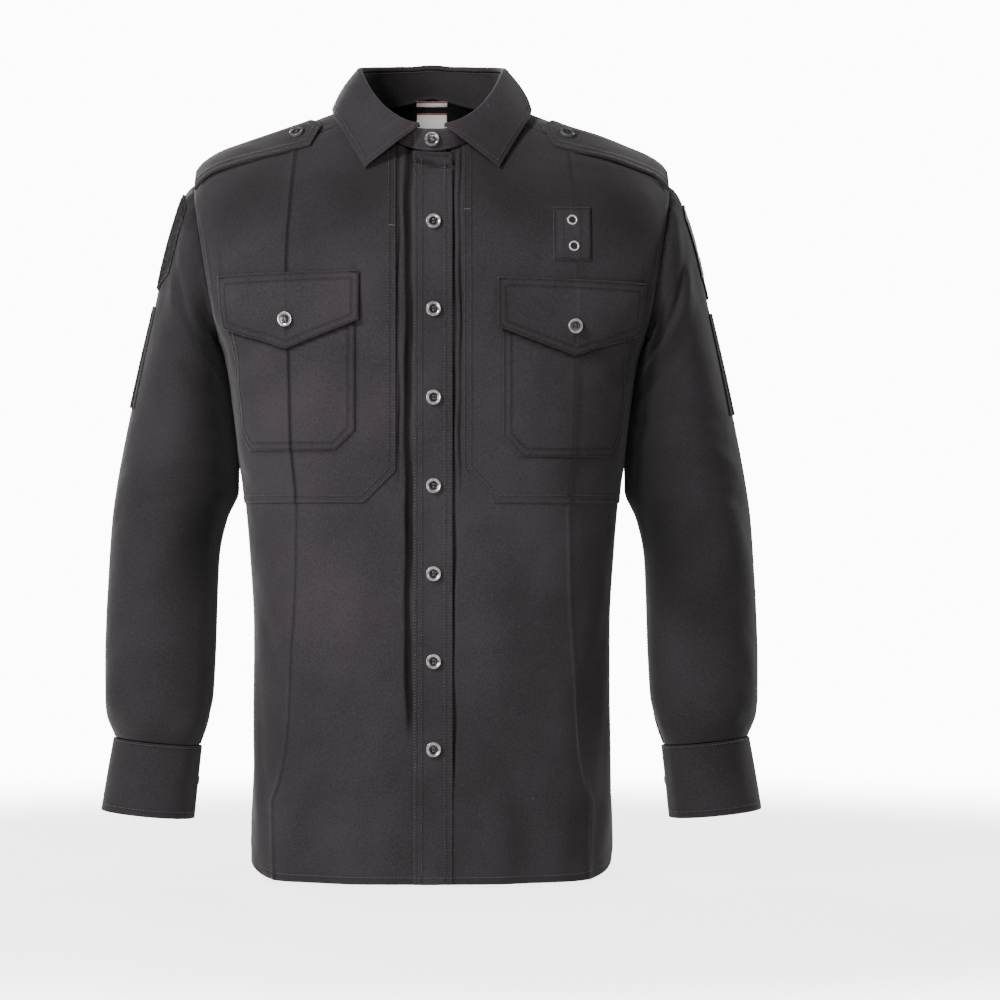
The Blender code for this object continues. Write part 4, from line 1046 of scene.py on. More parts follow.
def cut_to(mesh, outline, scores=()):
    """Cuts a flat pattern to a convex outline and scores it at distances inside the edges."""
    for start, end in legs_of(outline):
        bisect(mesh, start, end, True)
    for distance in scores:
        for start, end in legs_of(inset(outline, distance)):
            bisect(mesh, start, end, False)


def edge_distance(outline, u, v, legs=None):
    """Distance inside the nearest edge of a convex outline, or of some of its legs."""
    nearest = np.full(np.broadcast(u, v).shape, 1e6)
    for k, (start, end) in enumerate(legs_of(outline)):
        if legs is None or k in legs:
            run, rise = end[0] - start[0], end[1] - start[1]
            off = (run * (v - start[1]) - rise * (u - start[0])) / math.hypot(run, rise)
            nearest = np.minimum(nearest, off)
    return nearest


def turned_edge(distance, profile=PLY_EDGE):
    """A turned and stitched edge: rolled over, with a pad between its rows of stitching."""
    return np.interp(distance, *profile)


# Making pieces


def finish_piece(piece, slot, *nodes):
    """Puts a finished piece on the part, in place of its solids."""
    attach(piece, "root")
    if nodes:
        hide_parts(*nodes)


def link_object(name, data):
    made = bpy.data.objects.new(name, data)
    bpy.context.scene.collection.objects.link(made)
    return made


def select_only(*pieces):
    """Selects pieces and makes the last one active."""
    bpy.ops.object.select_all(action="DESELECT")
    for piece in pieces:
        piece.select_set(True)
        bpy.context.view_layer.objects.active = piece


def add_modifier(piece, label, kind, **settings):
    made = piece.modifiers.new(label, kind)
    for key, value in settings.items():
        setattr(made, key, value)


def apply_modifiers(piece):
    evaluated = piece.evaluated_get(bpy.context.evaluated_depsgraph_get())
    data = bpy.data.meshes.new_from_object(evaluated)
    old = piece.data
    piece.modifiers.clear()
    piece.data = data
    bpy.data.meshes.remove(old)


def cloth(name, mesh, form, lift, wall, material, seam=None, shade=None, slot="twill",
          solid=True, tube=False, unit=(1, 1), inside=None):
    """Lays a flat pattern on its form as a sheet of cloth with rounded edges.

    Seam and shade are functions that mark a pattern point near stitching or in shade. The sheet
    stands in the place of the solid of its name, unless solid is False.
    """
    places = np.array([vert.co[:] for vert in mesh.verts])
    u, v = places[:, 0], places[:, 2]
    points = form.at(u, v, lift)[0]
    pattern = mesh.loops.layers.uv.new("pattern")
    for face in mesh.faces:
        for loop in face.loops:
            co = loop.vert.co
            loop[pattern].uv = (co.x * unit[0] * MILLIMETRE, co.z * unit[1] * MILLIMETRE)
    for label, mark in (("seam", seam), ("shade", shade)):
        layer = mesh.verts.layers.float.new(label)
        for vert, value in zip(mesh.verts, mark(u, v) if mark else np.zeros(len(u))):
            vert[layer] = float(value)
    for vert, point in zip(mesh.verts, points):
        vert.co = Vector(point) * MILLIMETRE
    if not tube:
        bmesh.ops.dissolve_degenerate(mesh, dist=SLIVER * MILLIMETRE, edges=mesh.edges[:])
        bmesh.ops.remove_doubles(mesh, verts=mesh.verts[:], dist=SLIVER * MILLIMETRE)
    mesh.normal_update()
    mesh.verts.index_update()
    face = mesh.faces[:][len(mesh.faces) // 2]
    corner = face.loops[0][pattern].uv
    outward = form.spot(corner.x / unit[0] / MILLIMETRE, corner.y / unit[1] / MILLIMETRE, lift)[1]
    if face.normal.dot(Vector(outward)) < 0:
        bmesh.ops.reverse_faces(mesh, faces=mesh.faces[:])
    if tube:
        bmesh.ops.remove_doubles(mesh, verts=mesh.verts[:], dist=SLIVER * MILLIMETRE)
    data = bpy.data.meshes.new(name)
    mesh.to_mesh(data)
    mesh.free()
    data.shade_smooth()
    data.materials.append(material)
    if inside:
        data.materials.append(inside)
    piece = link_object(name, data)
    add_modifier(piece, "Wall", "SOLIDIFY", thickness=wall * MILLIMETRE, offset=-1,
                 material_offset=1 if inside else 0)
    add_modifier(piece, "Rounded edges", "BEVEL", width=wall * EDGE_ROUNDING * MILLIMETRE,
                 segments=2, limit_method="ANGLE", angle_limit=math.radians(60))
    apply_modifiers(piece)
    finish_piece(piece, slot, *([name] if solid else []))


def laid_patch(name, form, outline, step, profile, height, wall, material, rows=None,
               slot="twill", under=None):
    """A flat patch of cloth with a rolled edge, at a height over its form or what is under it."""
    (low_u, low_v), (high_u, high_v) = np.min(outline, axis=0), np.max(outline, axis=0)
    mesh = joined(even_grid(low_u, high_u, low_v, high_v, step))
    cut_to(mesh, outline, profile[0][1:])

    def lift(u, v):
        roll = turned_edge(edge_distance(outline, u, v), profile)
        return height + roll + (under(u, v) if under else 0)

    def seams(u, v):
        return near_rows(edge_distance(outline, u, v), rows)

    cloth(name, mesh, form, lift, wall, material, seams if rows else None, slot=slot)
    return lift


def many_bodies(name, corners, body, material, slot):
    """One mesh of many small bodies: the corners of each, and the faces of one."""
    count, size = corners.shape[:2]
    data = bpy.data.meshes.new(name)
    data.from_pydata((corners.reshape(-1, 3) * MILLIMETRE).tolist(), [],
                     [tuple(k + size * n for k in face) for n in range(count) for face in body])
    data.shade_smooth()
    data.materials.append(material)
    finish_piece(link_object(name, data), slot)


# Sewing

stitch_runs = {}


def sew(name, form, line, lift, keep=None, pitch=STITCH_PITCH, length=STITCH_LENGTH):
    """Adds stitches to a seam along a line of pattern points."""
    line = np.array(line, float)
    legs = np.linspace(0, len(line) - 1, (len(line) - 1) * LEG_SAMPLES + 1)
    places = sample(legs, np.arange(len(line)), line)
    points, normals = form.at(places[:, 0], places[:, 1], lift)
    along = lengths_along(points)
    starts = np.arange((pitch - length) / 2, along[-1] - length, pitch)
    if keep is not None and len(starts):
        starts = starts[keep(*sample(starts + length / 2, along, places).T)]
    stitch_runs.setdefault(name, []).append((
        sample(starts, along, points), sample(starts + length, along, points),
        sample(starts + length / 2, along, normals)))


def make_stitching(name, material, slot, half_width=STITCH_HALF_WIDTH):
    """One mesh of all stitches of a seam: each a short rounded bar, sunk at its ends."""
    start, end, normal = (np.concatenate(parts) for parts in zip(*stitch_runs[name]))
    side = np.cross(normal, unit_vectors(end - start)) * half_width
    top, sunk = normal * STITCH_HEIGHT, normal * -STITCH_SINK
    taper = (end - start) * STITCH_TAPER
    near, far = start + taper, end - taper
    corners = np.stack((start + sunk, near + side + sunk, near + top, near - side + sunk,
                        far + side + sunk, far + top, far - side + sunk, end + sunk), axis=1)
    bar = ((0, 2, 1), (0, 3, 2), (0, 1, 3), (1, 2, 5, 4), (2, 3, 6, 5), (3, 1, 4, 6),
           (7, 4, 5), (7, 5, 6), (7, 6, 4))
    many_bodies(name, corners, bar, material, slot)


# Materials

def new_group(name, *labels):
    """A node group that takes a place and gives values."""
    group = bpy.data.node_groups.new(name, "ShaderNodeTree")
    group.interface.new_socket("Place", in_out="INPUT", socket_type="NodeSocketVector")
    for label in labels:
        group.interface.new_socket(label, in_out="OUTPUT", socket_type="NodeSocketFloat")
    place = group.nodes.new("NodeGroupInput").outputs[0]
    return group, place, group.nodes.new("NodeGroupOutput")


def link_all(tree, node, *values):
    for value, socket in zip(values, node.inputs):
        tree.links.new(value, socket)
    return tree


def set_sockets(node, **values):
    for key, value in values.items():
        node.inputs[key.replace("_", " ")].default_value = value


def add_node(tree, kind, sockets=None, **settings):
    made = tree.nodes.new(kind)
    for key, value in settings.items():
        setattr(made, key, value)
    set_sockets(made, **(sockets or {}))
    return made


def object_place(tree):
    return add_node(tree, "ShaderNodeTexCoord").outputs["Object"]


def painted(tree, name):
    """A mask that a piece carries on its points."""
    return add_node(tree, "ShaderNodeAttribute", attribute_name=name).outputs["Fac"]


def maths(tree, operation, first, second=None, clamp=False):
    made = add_node(tree, "ShaderNodeMath", operation=operation, use_clamp=clamp)
    for socket, value in zip(made.inputs, (first, second)):
        if isinstance(value, (int, float)):
            socket.default_value = value
        elif value is not None:
            tree.links.new(value, socket)
    return made.outputs[0]


def weighted(tree, first, weight, second, other):
    """The sum of two values, each times its weight."""
    return maths(tree, "ADD", maths(tree, "MULTIPLY", first, weight),
                 maths(tree, "MULTIPLY", second, other))


def ramp(tree, value, low, high):
    """0 below low and 1 above high."""
    made = add_node(tree, "ShaderNodeMapRange", {"From_Min": low, "From_Max": high},
                    interpolation_type="SMOOTHSTEP")
    tree.links.new(value, made.inputs["Value"])
    return made.outputs["Result"]


def noise(tree, vector, scale, detail=2.0, rough=0.5):
    made = add_node(tree, "ShaderNodeTexNoise",
                    {"Scale": scale, "Detail": detail, "Roughness": rough})
    tree.links.new(vector, made.inputs["Vector"])
    return made.outputs["Fac"]


def twill_group():
    """Diagonal ribs of the weave: a colour mask and a height."""
    tree, place, outputs = new_group("Twill weave", "Mask", "Height")
    wave = add_node(tree, "ShaderNodeTexWave",
                    {"Scale": WEAVE_SCALE, "Distortion": 1.1, "Detail": 1.0, "Detail_Scale": 1.6},
                    wave_type="BANDS", bands_direction="DIAGONAL")
    tree.links.new(place, wave.inputs["Vector"])
    ribs = wave.outputs["Fac"]
    mask = weighted(tree, ribs, 0.45, noise(tree, place, WEAVE_SCALE, 3.0, 0.65), 0.55)
    return link_all(tree, outputs, mask, ribs)


def wear_group():
    """Mottled handling of the cloth, a little lint and small wrinkles."""
    tree, place, outputs = new_group("Soft wear", "Mottle", "Lint", "Crumple")
    mottle = weighted(tree, noise(tree, place, 11.0), 0.55,
                      noise(tree, place, 460.0, 3.0, 0.6), 0.45)
    specks = add_node(tree, "ShaderNodeTexVoronoi", {"Scale": 34.0, "Randomness": 1.0})
    tree.links.new(place, specks.inputs["Vector"])
    near = maths(tree, "SUBTRACT", 1.0, ramp(tree, specks.outputs["Distance"], 0.012, 0.022))
    few = ramp(tree, noise(tree, place, 9.0, 0.0), 0.56, 0.6)
    crumple = weighted(tree, noise(tree, place, 13.0), 1.0, noise(tree, place, 42.0), 0.16)
    return link_all(tree, outputs, mottle, maths(tree, "MULTIPLY", near, few), crumple)


def fuzz_group():
    """Standing loops of yarn: a colour mask and a height."""
    tree, place, outputs = new_group("Fuzz", "Mask", "Height")
    fine = noise(tree, place, 480.0, 4.0, 0.75)
    mask = weighted(tree, fine, 0.85, noise(tree, place, 90.0, 3.0, 0.6), 0.15)
    return link_all(tree, outputs, mask, fine)


def use_group(tree, group, vector):
    made = tree.nodes.new("ShaderNodeGroup")
    made.node_tree = group
    tree.links.new(vector, made.inputs[0])
    return made.outputs


def new_material(name, roughness, specular=0.3, **sockets):
    material = bpy.data.materials.new(name)
    material.use_nodes = True
    tree = material.node_tree
    shader = tree.nodes["Principled BSDF"]
    set_sockets(shader, Roughness=roughness, Specular_IOR_Level=specular, **sockets)
    return material, tree, shader


def mixed(tree, factor, first, second):
    made = add_node(tree, "ShaderNodeMix", data_type="RGBA")
    tree.links.new(factor, made.inputs["Factor"])
    for socket, colour in ((made.inputs[6], first), (made.inputs[7], second)):
        if isinstance(colour, tuple):
            socket.default_value = (*colour, 1)
        else:
            tree.links.new(colour, socket)
    return made.outputs[2]


def bumped(tree, shader, *layers):
    """Chains bumps of (height, distance in metres, strength) into the shader's normal."""
    normal = None
    for height, distance, strength in layers:
        bump = add_node(tree, "ShaderNodeBump", {"Strength": strength, "Distance": distance})
        tree.links.new(height, bump.inputs["Height"])
        if normal is not None:
            tree.links.new(normal, bump.inputs["Normal"])
        normal = bump.outputs["Normal"]
    tree.links.new(normal, shader.inputs["Normal"])


def cloth_material(name, dark, light, sheen=0.3):
    """Twill with its weave, wear, puckers at the seams and painted shade."""
    material, tree, shader = new_material(
        name, 0.86, 0.22, Sheen_Weight=sheen, Sheen_Roughness=0.45,
        Sheen_Tint=(0.8, 0.78, 0.8, 1))
    pattern = add_node(tree, "ShaderNodeUVMap", uv_map="pattern").outputs["UV"]
    place, seam = object_place(tree), painted(tree, "seam")
    weave, wear = use_group(tree, TWILL, pattern), use_group(tree, WEAR, place)
    tone = weighted(tree, weave["Mask"], 0.45, wear["Mottle"], 0.55)
    tone = maths(tree, "MULTIPLY", maths(tree, "SUBTRACT", tone, 0.5), TONE_CONTRAST)
    colour = mixed(tree, maths(tree, "ADD", tone, 0.5, True), dark, light)
    dimmed = maths(tree, "ADD", maths(tree, "MULTIPLY", seam, SEAM_SHADE),
                   painted(tree, "shade"), True)
    colour = mixed(tree, dimmed, colour, tuple(c * SHADE_TONE for c in dark))
    colour = mixed(tree, maths(tree, "MULTIPLY", wear["Lint"], 0.5), colour, LINT_COLOUR)
    tree.links.new(colour, shader.inputs["Base Color"])
    pucker = maths(tree, "MULTIPLY", seam, noise(tree, place, 260.0, 1.0))
    bumped(tree, shader, (wear["Crumple"], 0.006, 0.75), (pucker, 0.0014, 0.9),
           (weave["Height"], 0.00012, 0.5))
    return material


def plain_material(name, dark, light, roughness, scale, bump, sheen=0, metallic=0):
    """A material with a fine mottled colour and bump."""
    material, tree, shader = new_material(name, roughness, Sheen_Weight=sheen, Metallic=metallic)
    grain = noise(tree, object_place(tree), scale, 3.0, 0.6)
    colour = mixed(tree, ramp(tree, grain, 0.3, 0.7), dark, light)
    tree.links.new(colour, shader.inputs["Base Color"])
    bumped(tree, shader, (grain, bump, 0.6))
    return material


def button_material():
    """Smoky black resin, nearly black in the dish and polished on the rim; the rim's light grey
    colour is a painted highlight for the reflections it catches.
    """
    material, tree, shader = new_material("Button resin", 0.2, 0.6, Coat_Weight=0.7,
                                          Coat_Roughness=0.08)
    place, rim = object_place(tree), painted(tree, "rim")
    cloud = ramp(tree, noise(tree, place, 260.0), 0.3, 0.7)
    dish = mixed(tree, cloud, (0.012, 0.011, 0.012), (0.026, 0.024, 0.026))
    # Painted highlight: the rim's light grey stands in for reflected light, on top of the real
    # reflection from Metallic and Coat
    edge = mixed(tree, cloud, (0.34, 0.335, 0.34), (0.66, 0.65, 0.66))
    tree.links.new(maths(tree, "MULTIPLY", rim, 0.5), shader.inputs["Metallic"])
    tree.links.new(mixed(tree, rim, dish, edge), shader.inputs["Base Color"])
    bumped(tree, shader, (noise(tree, place, 300.0, 1.0), 0.00004, 0.5))
    return material


def fuzz_material(name, dark, light):
    """Tape covered with small loops of yarn."""
    material, tree, shader = new_material(name, 0.95, 0.15, Sheen_Weight=0.12)
    fuzz = use_group(tree, FUZZ, object_place(tree))
    colour = mixed(tree, ramp(tree, fuzz["Mask"], 0.42, 0.60), dark, light)
    tree.links.new(colour, shader.inputs["Base Color"])
    bumped(tree, shader, (fuzz["Height"], 0.0012, 1.0))
    return material


TWILL, WEAR, FUZZ = twill_group(), wear_group(), fuzz_group()
body_cloth = cloth_material("Charcoal twill", (0.0225, 0.0186, 0.0212), (0.0660, 0.0550, 0.0625))
# Painted shade: a darker copy of the body's twill, for the sleeves, cuffs, vent plackets and the
# collar stand's inside
shaded_twill = cloth_material("Charcoal twill painted darker as shade", (0.0156, 0.0132, 0.0150),
                              (0.0464, 0.0392, 0.0446))
# Painted shade: a near-black copy of the twill for the yoke's inside faces
shaded_inner_cloth = cloth_material("Inside of the yoke painted dark as shade", (0.0055, 0.0048, 0.0053),
                             (0.0120, 0.0105, 0.0115), 0.0)
PLAIN_MATERIALS = (
    ("Charcoal thread", (0.105, 0.097, 0.102), (0.165, 0.154, 0.161), 0.6, 1500, 0.0001, 0.3),
    # The black thread also serves as painted shade of the stitch holes on the pockets and tab
    ("Black thread and painted stitch-hole shade", (0.007, 0.0065, 0.007), (0.014, 0.0125, 0.0135), 0.6, 1500, 0.0001),
    ("Loop tape selvedge", (0.05, 0.048, 0.052), (0.080, 0.076, 0.081), 0.8, 1200, 0.0002),
    # Nickel is only half metallic with a near-white base: partly its own pale colour, partly a
    # painted reflection
    ("Nickel", (0.88, 0.87, 0.86), (0.95, 0.94, 0.93), 0.26, 600, 0.00005, 0, 0.5),
    ("White embroidery", (0.66, 0.65, 0.62), (0.82, 0.81, 0.78), 0.6, 1400, 0.0003, 0.4),
    ("Gold embroidery", (0.46, 0.26, 0.035), (0.66, 0.40, 0.07), 0.5, 1400, 0.0003, 0.4),
    ("Black embroidery", (0.010, 0.010, 0.011), (0.022, 0.022, 0.024), 0.65, 1400, 0.0003, 0.3),
    ("White label tape", (0.88, 0.87, 0.86), (0.94, 0.93, 0.92), 0.45, 900, 0.0001, 0.3),
    ("Red label edge", (0.30, 0.02, 0.02), (0.42, 0.04, 0.04), 0.55, 900, 0.0001),
)
(thread, thread_and_hole_shade, selvedge, nickel_and_painted_shine, white_thread, gold_thread, field_thread, satin,
 red_edge) = (plain_material(*row) for row in PLAIN_MATERIALS)
loop_tape = fuzz_material("Loop tape", (0.004, 0.0038, 0.0042), (0.086, 0.081, 0.087))
resin = button_material()
CHEVRONS = (("upper", 54, white_thread), ("lower", 64, gold_thread))


# Fronts

SIDES = (("left", 1), ("right", -1))
CREASE_PLACES = (-3.2, -0.5, 0.0, 0.5, 2.6, 5.2, 8.2)
SAMPLES = np.linspace(0, 1, 240)
NECK_SHARE = 0.55
FIRST_COLUMNS = (0, 0.9, 1.8, 2.7, 3.8, 5.0, 6.2, 7.2, 8.2, 9.2, 10.2, 11.4, 12.8, 14.4, 16.5, 19)
LOWER_STEPS = np.linspace(0, 1, 106)
UPPER_STEPS = np.concatenate((np.linspace(0, NECK_SHARE, 36), np.linspace(NECK_SHARE, 1, 28)[1:]))
EDGE_FADE = 12


def creased_grid(row, steps, before, after, first=()):
    """Rows of pattern points whose columns follow the pressed crease."""
    us, vs = [], []
    for t in steps:
        u, v = row(t, SAMPLES)
        off = u - crease_arc(v)
        start = off[0] + (first[-1] if first else 0)
        places = np.concatenate((
            off[0] + np.array(first[:-1]),
            np.linspace(start, CREASE_PLACES[0], before, endpoint=False), CREASE_PLACES,
            np.linspace(CREASE_PLACES[-1], off[-1], after + 1)[1:]))
        u, v = row(t, np.interp(places, off, SAMPLES))
        us.append(u)
        vs.append(v)
    return us, vs


arc_of = np.vectorize(torso_arc, excluded=(2,))


def front_inner(t):
    if t <= NECK_SHARE:
        return np.array((STRIP, blend(ARMHOLE_LOW[1], float(neck_z(STRIP)), t / NECK_SHARE)))
    start = math.degrees(math.asin(STRIP / NECK_HALF_WIDTH))
    end = YOKE_NECK_DEGREES - math.degrees(2 * SEAM / NECK_FRONT)
    x, _, z = neck_point(blend(start, end, (t - NECK_SHARE) / (1 - NECK_SHARE)))
    return np.array((torso_arc(x, z, "front"), z))


def front_outer(t):
    z = armhole_height(blend(180, armhole_turn(yoke_seam_z(YOKE_END_X)), t))
    return np.array((torso_arc(armhole_x(z) - SEAM, z, "front"), z))


def front_top(share):
    x = blend(float(neck_point(YOKE_NECK_DEGREES)[0]), YOKE_END_X - SEAM, share)
    z = yoke_seam_z(x) - 2 * SEAM
    return arc_of(x, z, "front"), z


def front_row(t, share):
    """Rows of the front: 0 at the hem, 1 at the armhole's foot, 2 at the neck and yoke seam."""
    if t <= 1:
        z = blend(hem_height(share), ARMHOLE_LOW[1], t)
        return blend(STRIP, side_arc(z, "front") - SEAM / 2, share), z
    t = t - 1
    start, end = front_inner(t), front_outer(t)
    low, high = front_inner(1), front_outer(1)
    top = front_top(share)
    point = []
    for axis in (0, 1):
        shift = (top[axis] - blend(low[axis], high[axis], share)) * t * t * share
        point.append(blend(start[axis], end[axis], share) + shift)
    return point[0], point[1]


ROW_STEPS = np.concatenate((LOWER_STEPS, 1 + UPPER_STEPS[1:]))
FRONT_GRID = creased_grid(front_row, ROW_STEPS, 22, 22, FIRST_COLUMNS)


def strip_grid():
    """Rows over the centre line, level with those of the front."""
    us, vs = [], []
    u = np.linspace(UNDER_FRONT_EDGE, STRIP, 8)
    for t in ROW_STEPS:
        if t <= 1:
            v = np.full(len(u), blend(HEM_Z, ARMHOLE_LOW[1], t))
        elif t <= 1 + NECK_SHARE:
            v = blend(ARMHOLE_LOW[1], neck_z(u), (t - 1) / NECK_SHARE)
        else:
            break
        us.append(u)
        vs.append(v)
    return us, vs


def joined(*grids):
    mesh = bmesh.new()
    for us, vs in grids:
        rows = [[mesh.verts.new((a, 0, b)) for a, b in zip(u, v)] for u, v in zip(us, vs)]
        for low, high in zip(rows, rows[1:]):
            for k in range(len(low) - 1):
                mesh.faces.new((low[k], low[k + 1], high[k + 1], high[k]))
    bmesh.ops.remove_doubles(mesh, verts=mesh.verts[:], dist=0.01)
    return mesh


def top_line():
    """The front's upper edge, along the neck and the yoke seam: arcs and heights."""
    points = [front_inner(t) for t in np.linspace(NECK_SHARE, 1, 20)]
    arcs, heights = front_top(np.linspace(0, 1, 60))
    points += list(zip(arcs[1:], heights[1:]))
    points = np.array(points)
    order = np.argsort(points[:, 0])
    return points[order, 0], points[order, 1]


TOP_ARCS, TOP_HEIGHTS = top_line()


def caught(u, z):
    """0 at the armhole, side, neck and yoke seams, and 1 away from them."""
    top = np.interp(np.abs(u), TOP_ARCS, TOP_HEIGHTS) - z
    return smooth_step(np.minimum(edge_arc(z) - np.abs(u), top) / EDGE_FADE)


def chest_outline(row):
    inner, bottom, corner = row["inner"], row["bottom"], row["corner"]
    return [(inner, 40), (inner, bottom + corner), (inner + corner, bottom),
            (SIDE_REACH, bottom), (SIDE_REACH, 40)]


def pocket_outline(row):
    low, high = row["inner"], row["inner"] + row["width"]
    top, bottom, corner = row["top"], row["bottom"], row["corner"]
    return [(low, top), (low, bottom + corner), (low + corner, bottom), (high - corner, bottom),
            (high, bottom + corner), (high, top)]


def flap_outline(row):
    low, high = row["inner"], row["inner"] + row["width"]
    top, slope = row["top"], row["slope"]
    return [(low, top), (low, top - row["edge_length"]),
            ((low + high) / 2, top - row["point_length"]),
            (high, top - slope - row["edge_length"]), (high, top - slope)]


def flap_lift(row):
    """A flap is sewn flat at its top and stands off a little towards its edges."""
    def lift(arc, z):
        drop = (row["top"] - z) / row["point_length"]
        across = (arc - row["inner"]) / row["width"] * 2 - 1
        bulge = FLAP_BULGE * smooth_step(drop) * blend(FLAP_BULGE_MIDDLE, 1, across * across)
        return FLAP_LIFT + bulge - FLAP_CREASE_LOSS * crease_relief(arc, z)
    return lift


def panel_grid(row, bottom, steps):
    """Pattern points of a pocket or a flap."""
    def points(t, share):
        return row["inner"] + row["width"] * share, blend(bottom, row["top"], t) + 0 * share
    return creased_grid(points, np.linspace(0, 1, steps), 16, 16)


def hem_seam(_u, v):
    return near_rows(v - HEM_Z, (HEM_STITCH,), 4)


def hem_line(face, start, count):
    """The hem's row of stitching, from an arc to the side seam."""
    whole = float(side_arc(HEM_Z, face))
    arcs = np.linspace(start, whole - 1, count)
    return np.column_stack((arcs, hem_height(np.clip(arcs / whole, 0, 1)) + HEM_STITCH))


def sew_side(name, form, face, lift, heights):
    """Two rows beside the armhole or the side seam."""
    for distance in SEAM_ROWS:
        sew(name, form, [(float(edge_arc(z, face)) - distance, z) for z in heights], lift)


def near_rows(distance, rows=(EDGE_STITCH, INNER_STITCH), reach=2.6):
    """Closeness to rows of stitching at distances from an edge."""
    close = np.zeros(np.shape(distance))
    for row in rows:
        close = np.maximum(close, ridge_profile((distance - row) / reach))
    return close


def crease_shade(u, v):
    """Painted shade along the line of the pressed crease, dark on the chest and faint below it."""
    strength = 0.25 + 0.5 * smooth_step((v - CREASE_SHADE_LOW) / 20)
    line = ridge_profile((np.abs(u) - crease_arc(v)) / CREASE_SHADE_WIDTH)
    return strength * line * below_collar(v)


def edge_shade(outline, u, v, legs, reach, strength):
    """Shade that a ply lying above casts just outside its outline."""
    outside = -edge_distance(outline, u, v, legs)
    return strength * np.where(outside > -1, smooth_step(1 - outside / reach), strength)


def chest_shade(u, v):
    """Broad soft shade over the chest above the pockets, deeper between its drag lines."""
    drag = 0.5 + 0.5 * np.sin(u / 17 + v / 31)
    middle, reach, depth, lines = CHEST_SHADE
    return ridge_profile((v - middle) / reach) * (depth + lines * drag)


def channel_mark(u, v):
    """Shade in the furrows beside the placket."""
    return 0.97 * np.minimum(-channel_relief(u, v) / 1.3, 1)


def edge_rows(name, form, outline, lift, legs, keep=None, rows=(EDGE_STITCH, INNER_STITCH)):
    """Sews rows along consecutive legs of an outline."""
    for distance in rows:
        line = inset(outline, distance)
        chain = [line[leg % len(line)] for leg in legs] + [line[(legs[-1] + 1) % len(line)]]
        sew(name, form, chain, lift, keep)


def bar_tack(name, form, start, end, lift):
    """A dense bar of stitches across a strain point."""
    start, end = np.array(start, float), np.array(end, float)
    length = np.linalg.norm(end - start)
    along = (end - start) / length
    across = np.array((-along[1], along[0])) * TACK_HALF_WIDTH
    for step in np.arange(0, length, TACK_STEP):
        middle = start + along * step
        sew(name, form, [middle - across, middle + across], lift, pitch=1.8, length=1.7)


def make_front(side_name, side):
    form = torso_form("front", side, channelled=True)
    grids = [FRONT_GRID] if side > 0 else [FRONT_GRID, strip_grid()]

    def shade(u, v):
        top, reach, depth = LOWER_SHADE
        marks = np.maximum(crease_shade(u, v), channel_mark(side * u, v))
        return np.maximum(marks, depth * smooth_step((top - v) / reach))

    cloth(f"front_{side_name}", joined(*grids), form, 0, WALL, body_cloth, hem_seam, shade)
    stitching = f"stitching_front_{side_name}"
    first = STRIP if side > 0 else UNDER_FRONT_EDGE + 1
    sew(stitching, form, hem_line("front", first, 40), 0)
    sew_side(stitching, form, "front", 0, np.linspace(*SIDE_SEAM_SPAN, 40))


def make_chest(side_name, form):
    row = table_row(CHEST_COLUMNS, CHEST, side_name)
    outline = chest_outline(row)
    free = (0, 1, 2)
    mesh = joined(FRONT_GRID)
    for leg in free:
        bisect(mesh, *legs_of(outline)[leg], True)
    for distance in EDGE_SCORES:
        for leg in free:
            bisect(mesh, *legs_of(inset(outline, distance))[leg], False, 14)

    def edge(u, v):
        return edge_distance(outline, u, v, free)

    def lift(u, v):
        return blend(SEWN_IN_LIFT, CHEST_LIFT + turned_edge(edge(u, v)), caught(u, v))

    def seams(u, v):
        side_gap = np.where(v > ARMHOLE_LOW[1] - 6, edge_arc(v) - np.abs(u), 99)
        return np.maximum(near_rows(side_gap, SEAM_ROWS, 3), near_rows(edge(u, v)))

    def shade(u, v):
        pocket = pocket_outline(table_row(POCKET_COLUMNS, POCKET, side_name))
        soft = np.maximum(crease_shade(u, v), chest_shade(u, v))
        return np.maximum(soft, edge_shade(pocket, u, v, POCKET_LEGS, 3.0, 0.35))

    def keep(u, v):
        return (edge_arc(v) - u > 1) & (np.interp(u, TOP_ARCS, TOP_HEIGHTS) - v > 1)

    cloth(f"chest_panel_{side_name}", mesh, form, lift, PLY, body_cloth, seams, shade)
    stitching = f"stitching_front_{side_name}"
    edge_rows(stitching, form, outline, lift, free, keep)
    sew_side(stitching, form, "front", lift, np.linspace(*FRONT_ARMHOLE_SPAN, 30))
    ends = [(row["inner"] + distance, row["tack"]) for distance in (EDGE_STITCH, INNER_STITCH)]
    bar_tack(stitching, form, *ends, lift)


def make_pocket(side_name, form):
    row = table_row(POCKET_COLUMNS, POCKET, side_name)
    outline = pocket_outline(row)
    mesh = joined(panel_grid(row, row["bottom"], 42))
    cut_to(mesh, outline, EDGE_SCORES)

    def edge(u, v):
        return edge_distance(outline, u, v, POCKET_LEGS)

    def lift(u, v):
        return POCKET_LIFT + turned_edge(edge(u, v))

    def shade(u, v):
        flap = flap_outline(table_row(FLAP_COLUMNS, FLAP, side_name))
        return np.maximum(crease_shade(u, v), edge_shade(flap, u, v, (0, 1, 2, 3), 5.0, 0.9))

    cloth(f"pocket_{side_name}", mesh, form, lift, PLY, body_cloth,
          lambda u, v: near_rows(edge(u, v)), shade)
    edge_rows(f"stitching_pocket_{side_name}", form, outline, lift, POCKET_LEGS)


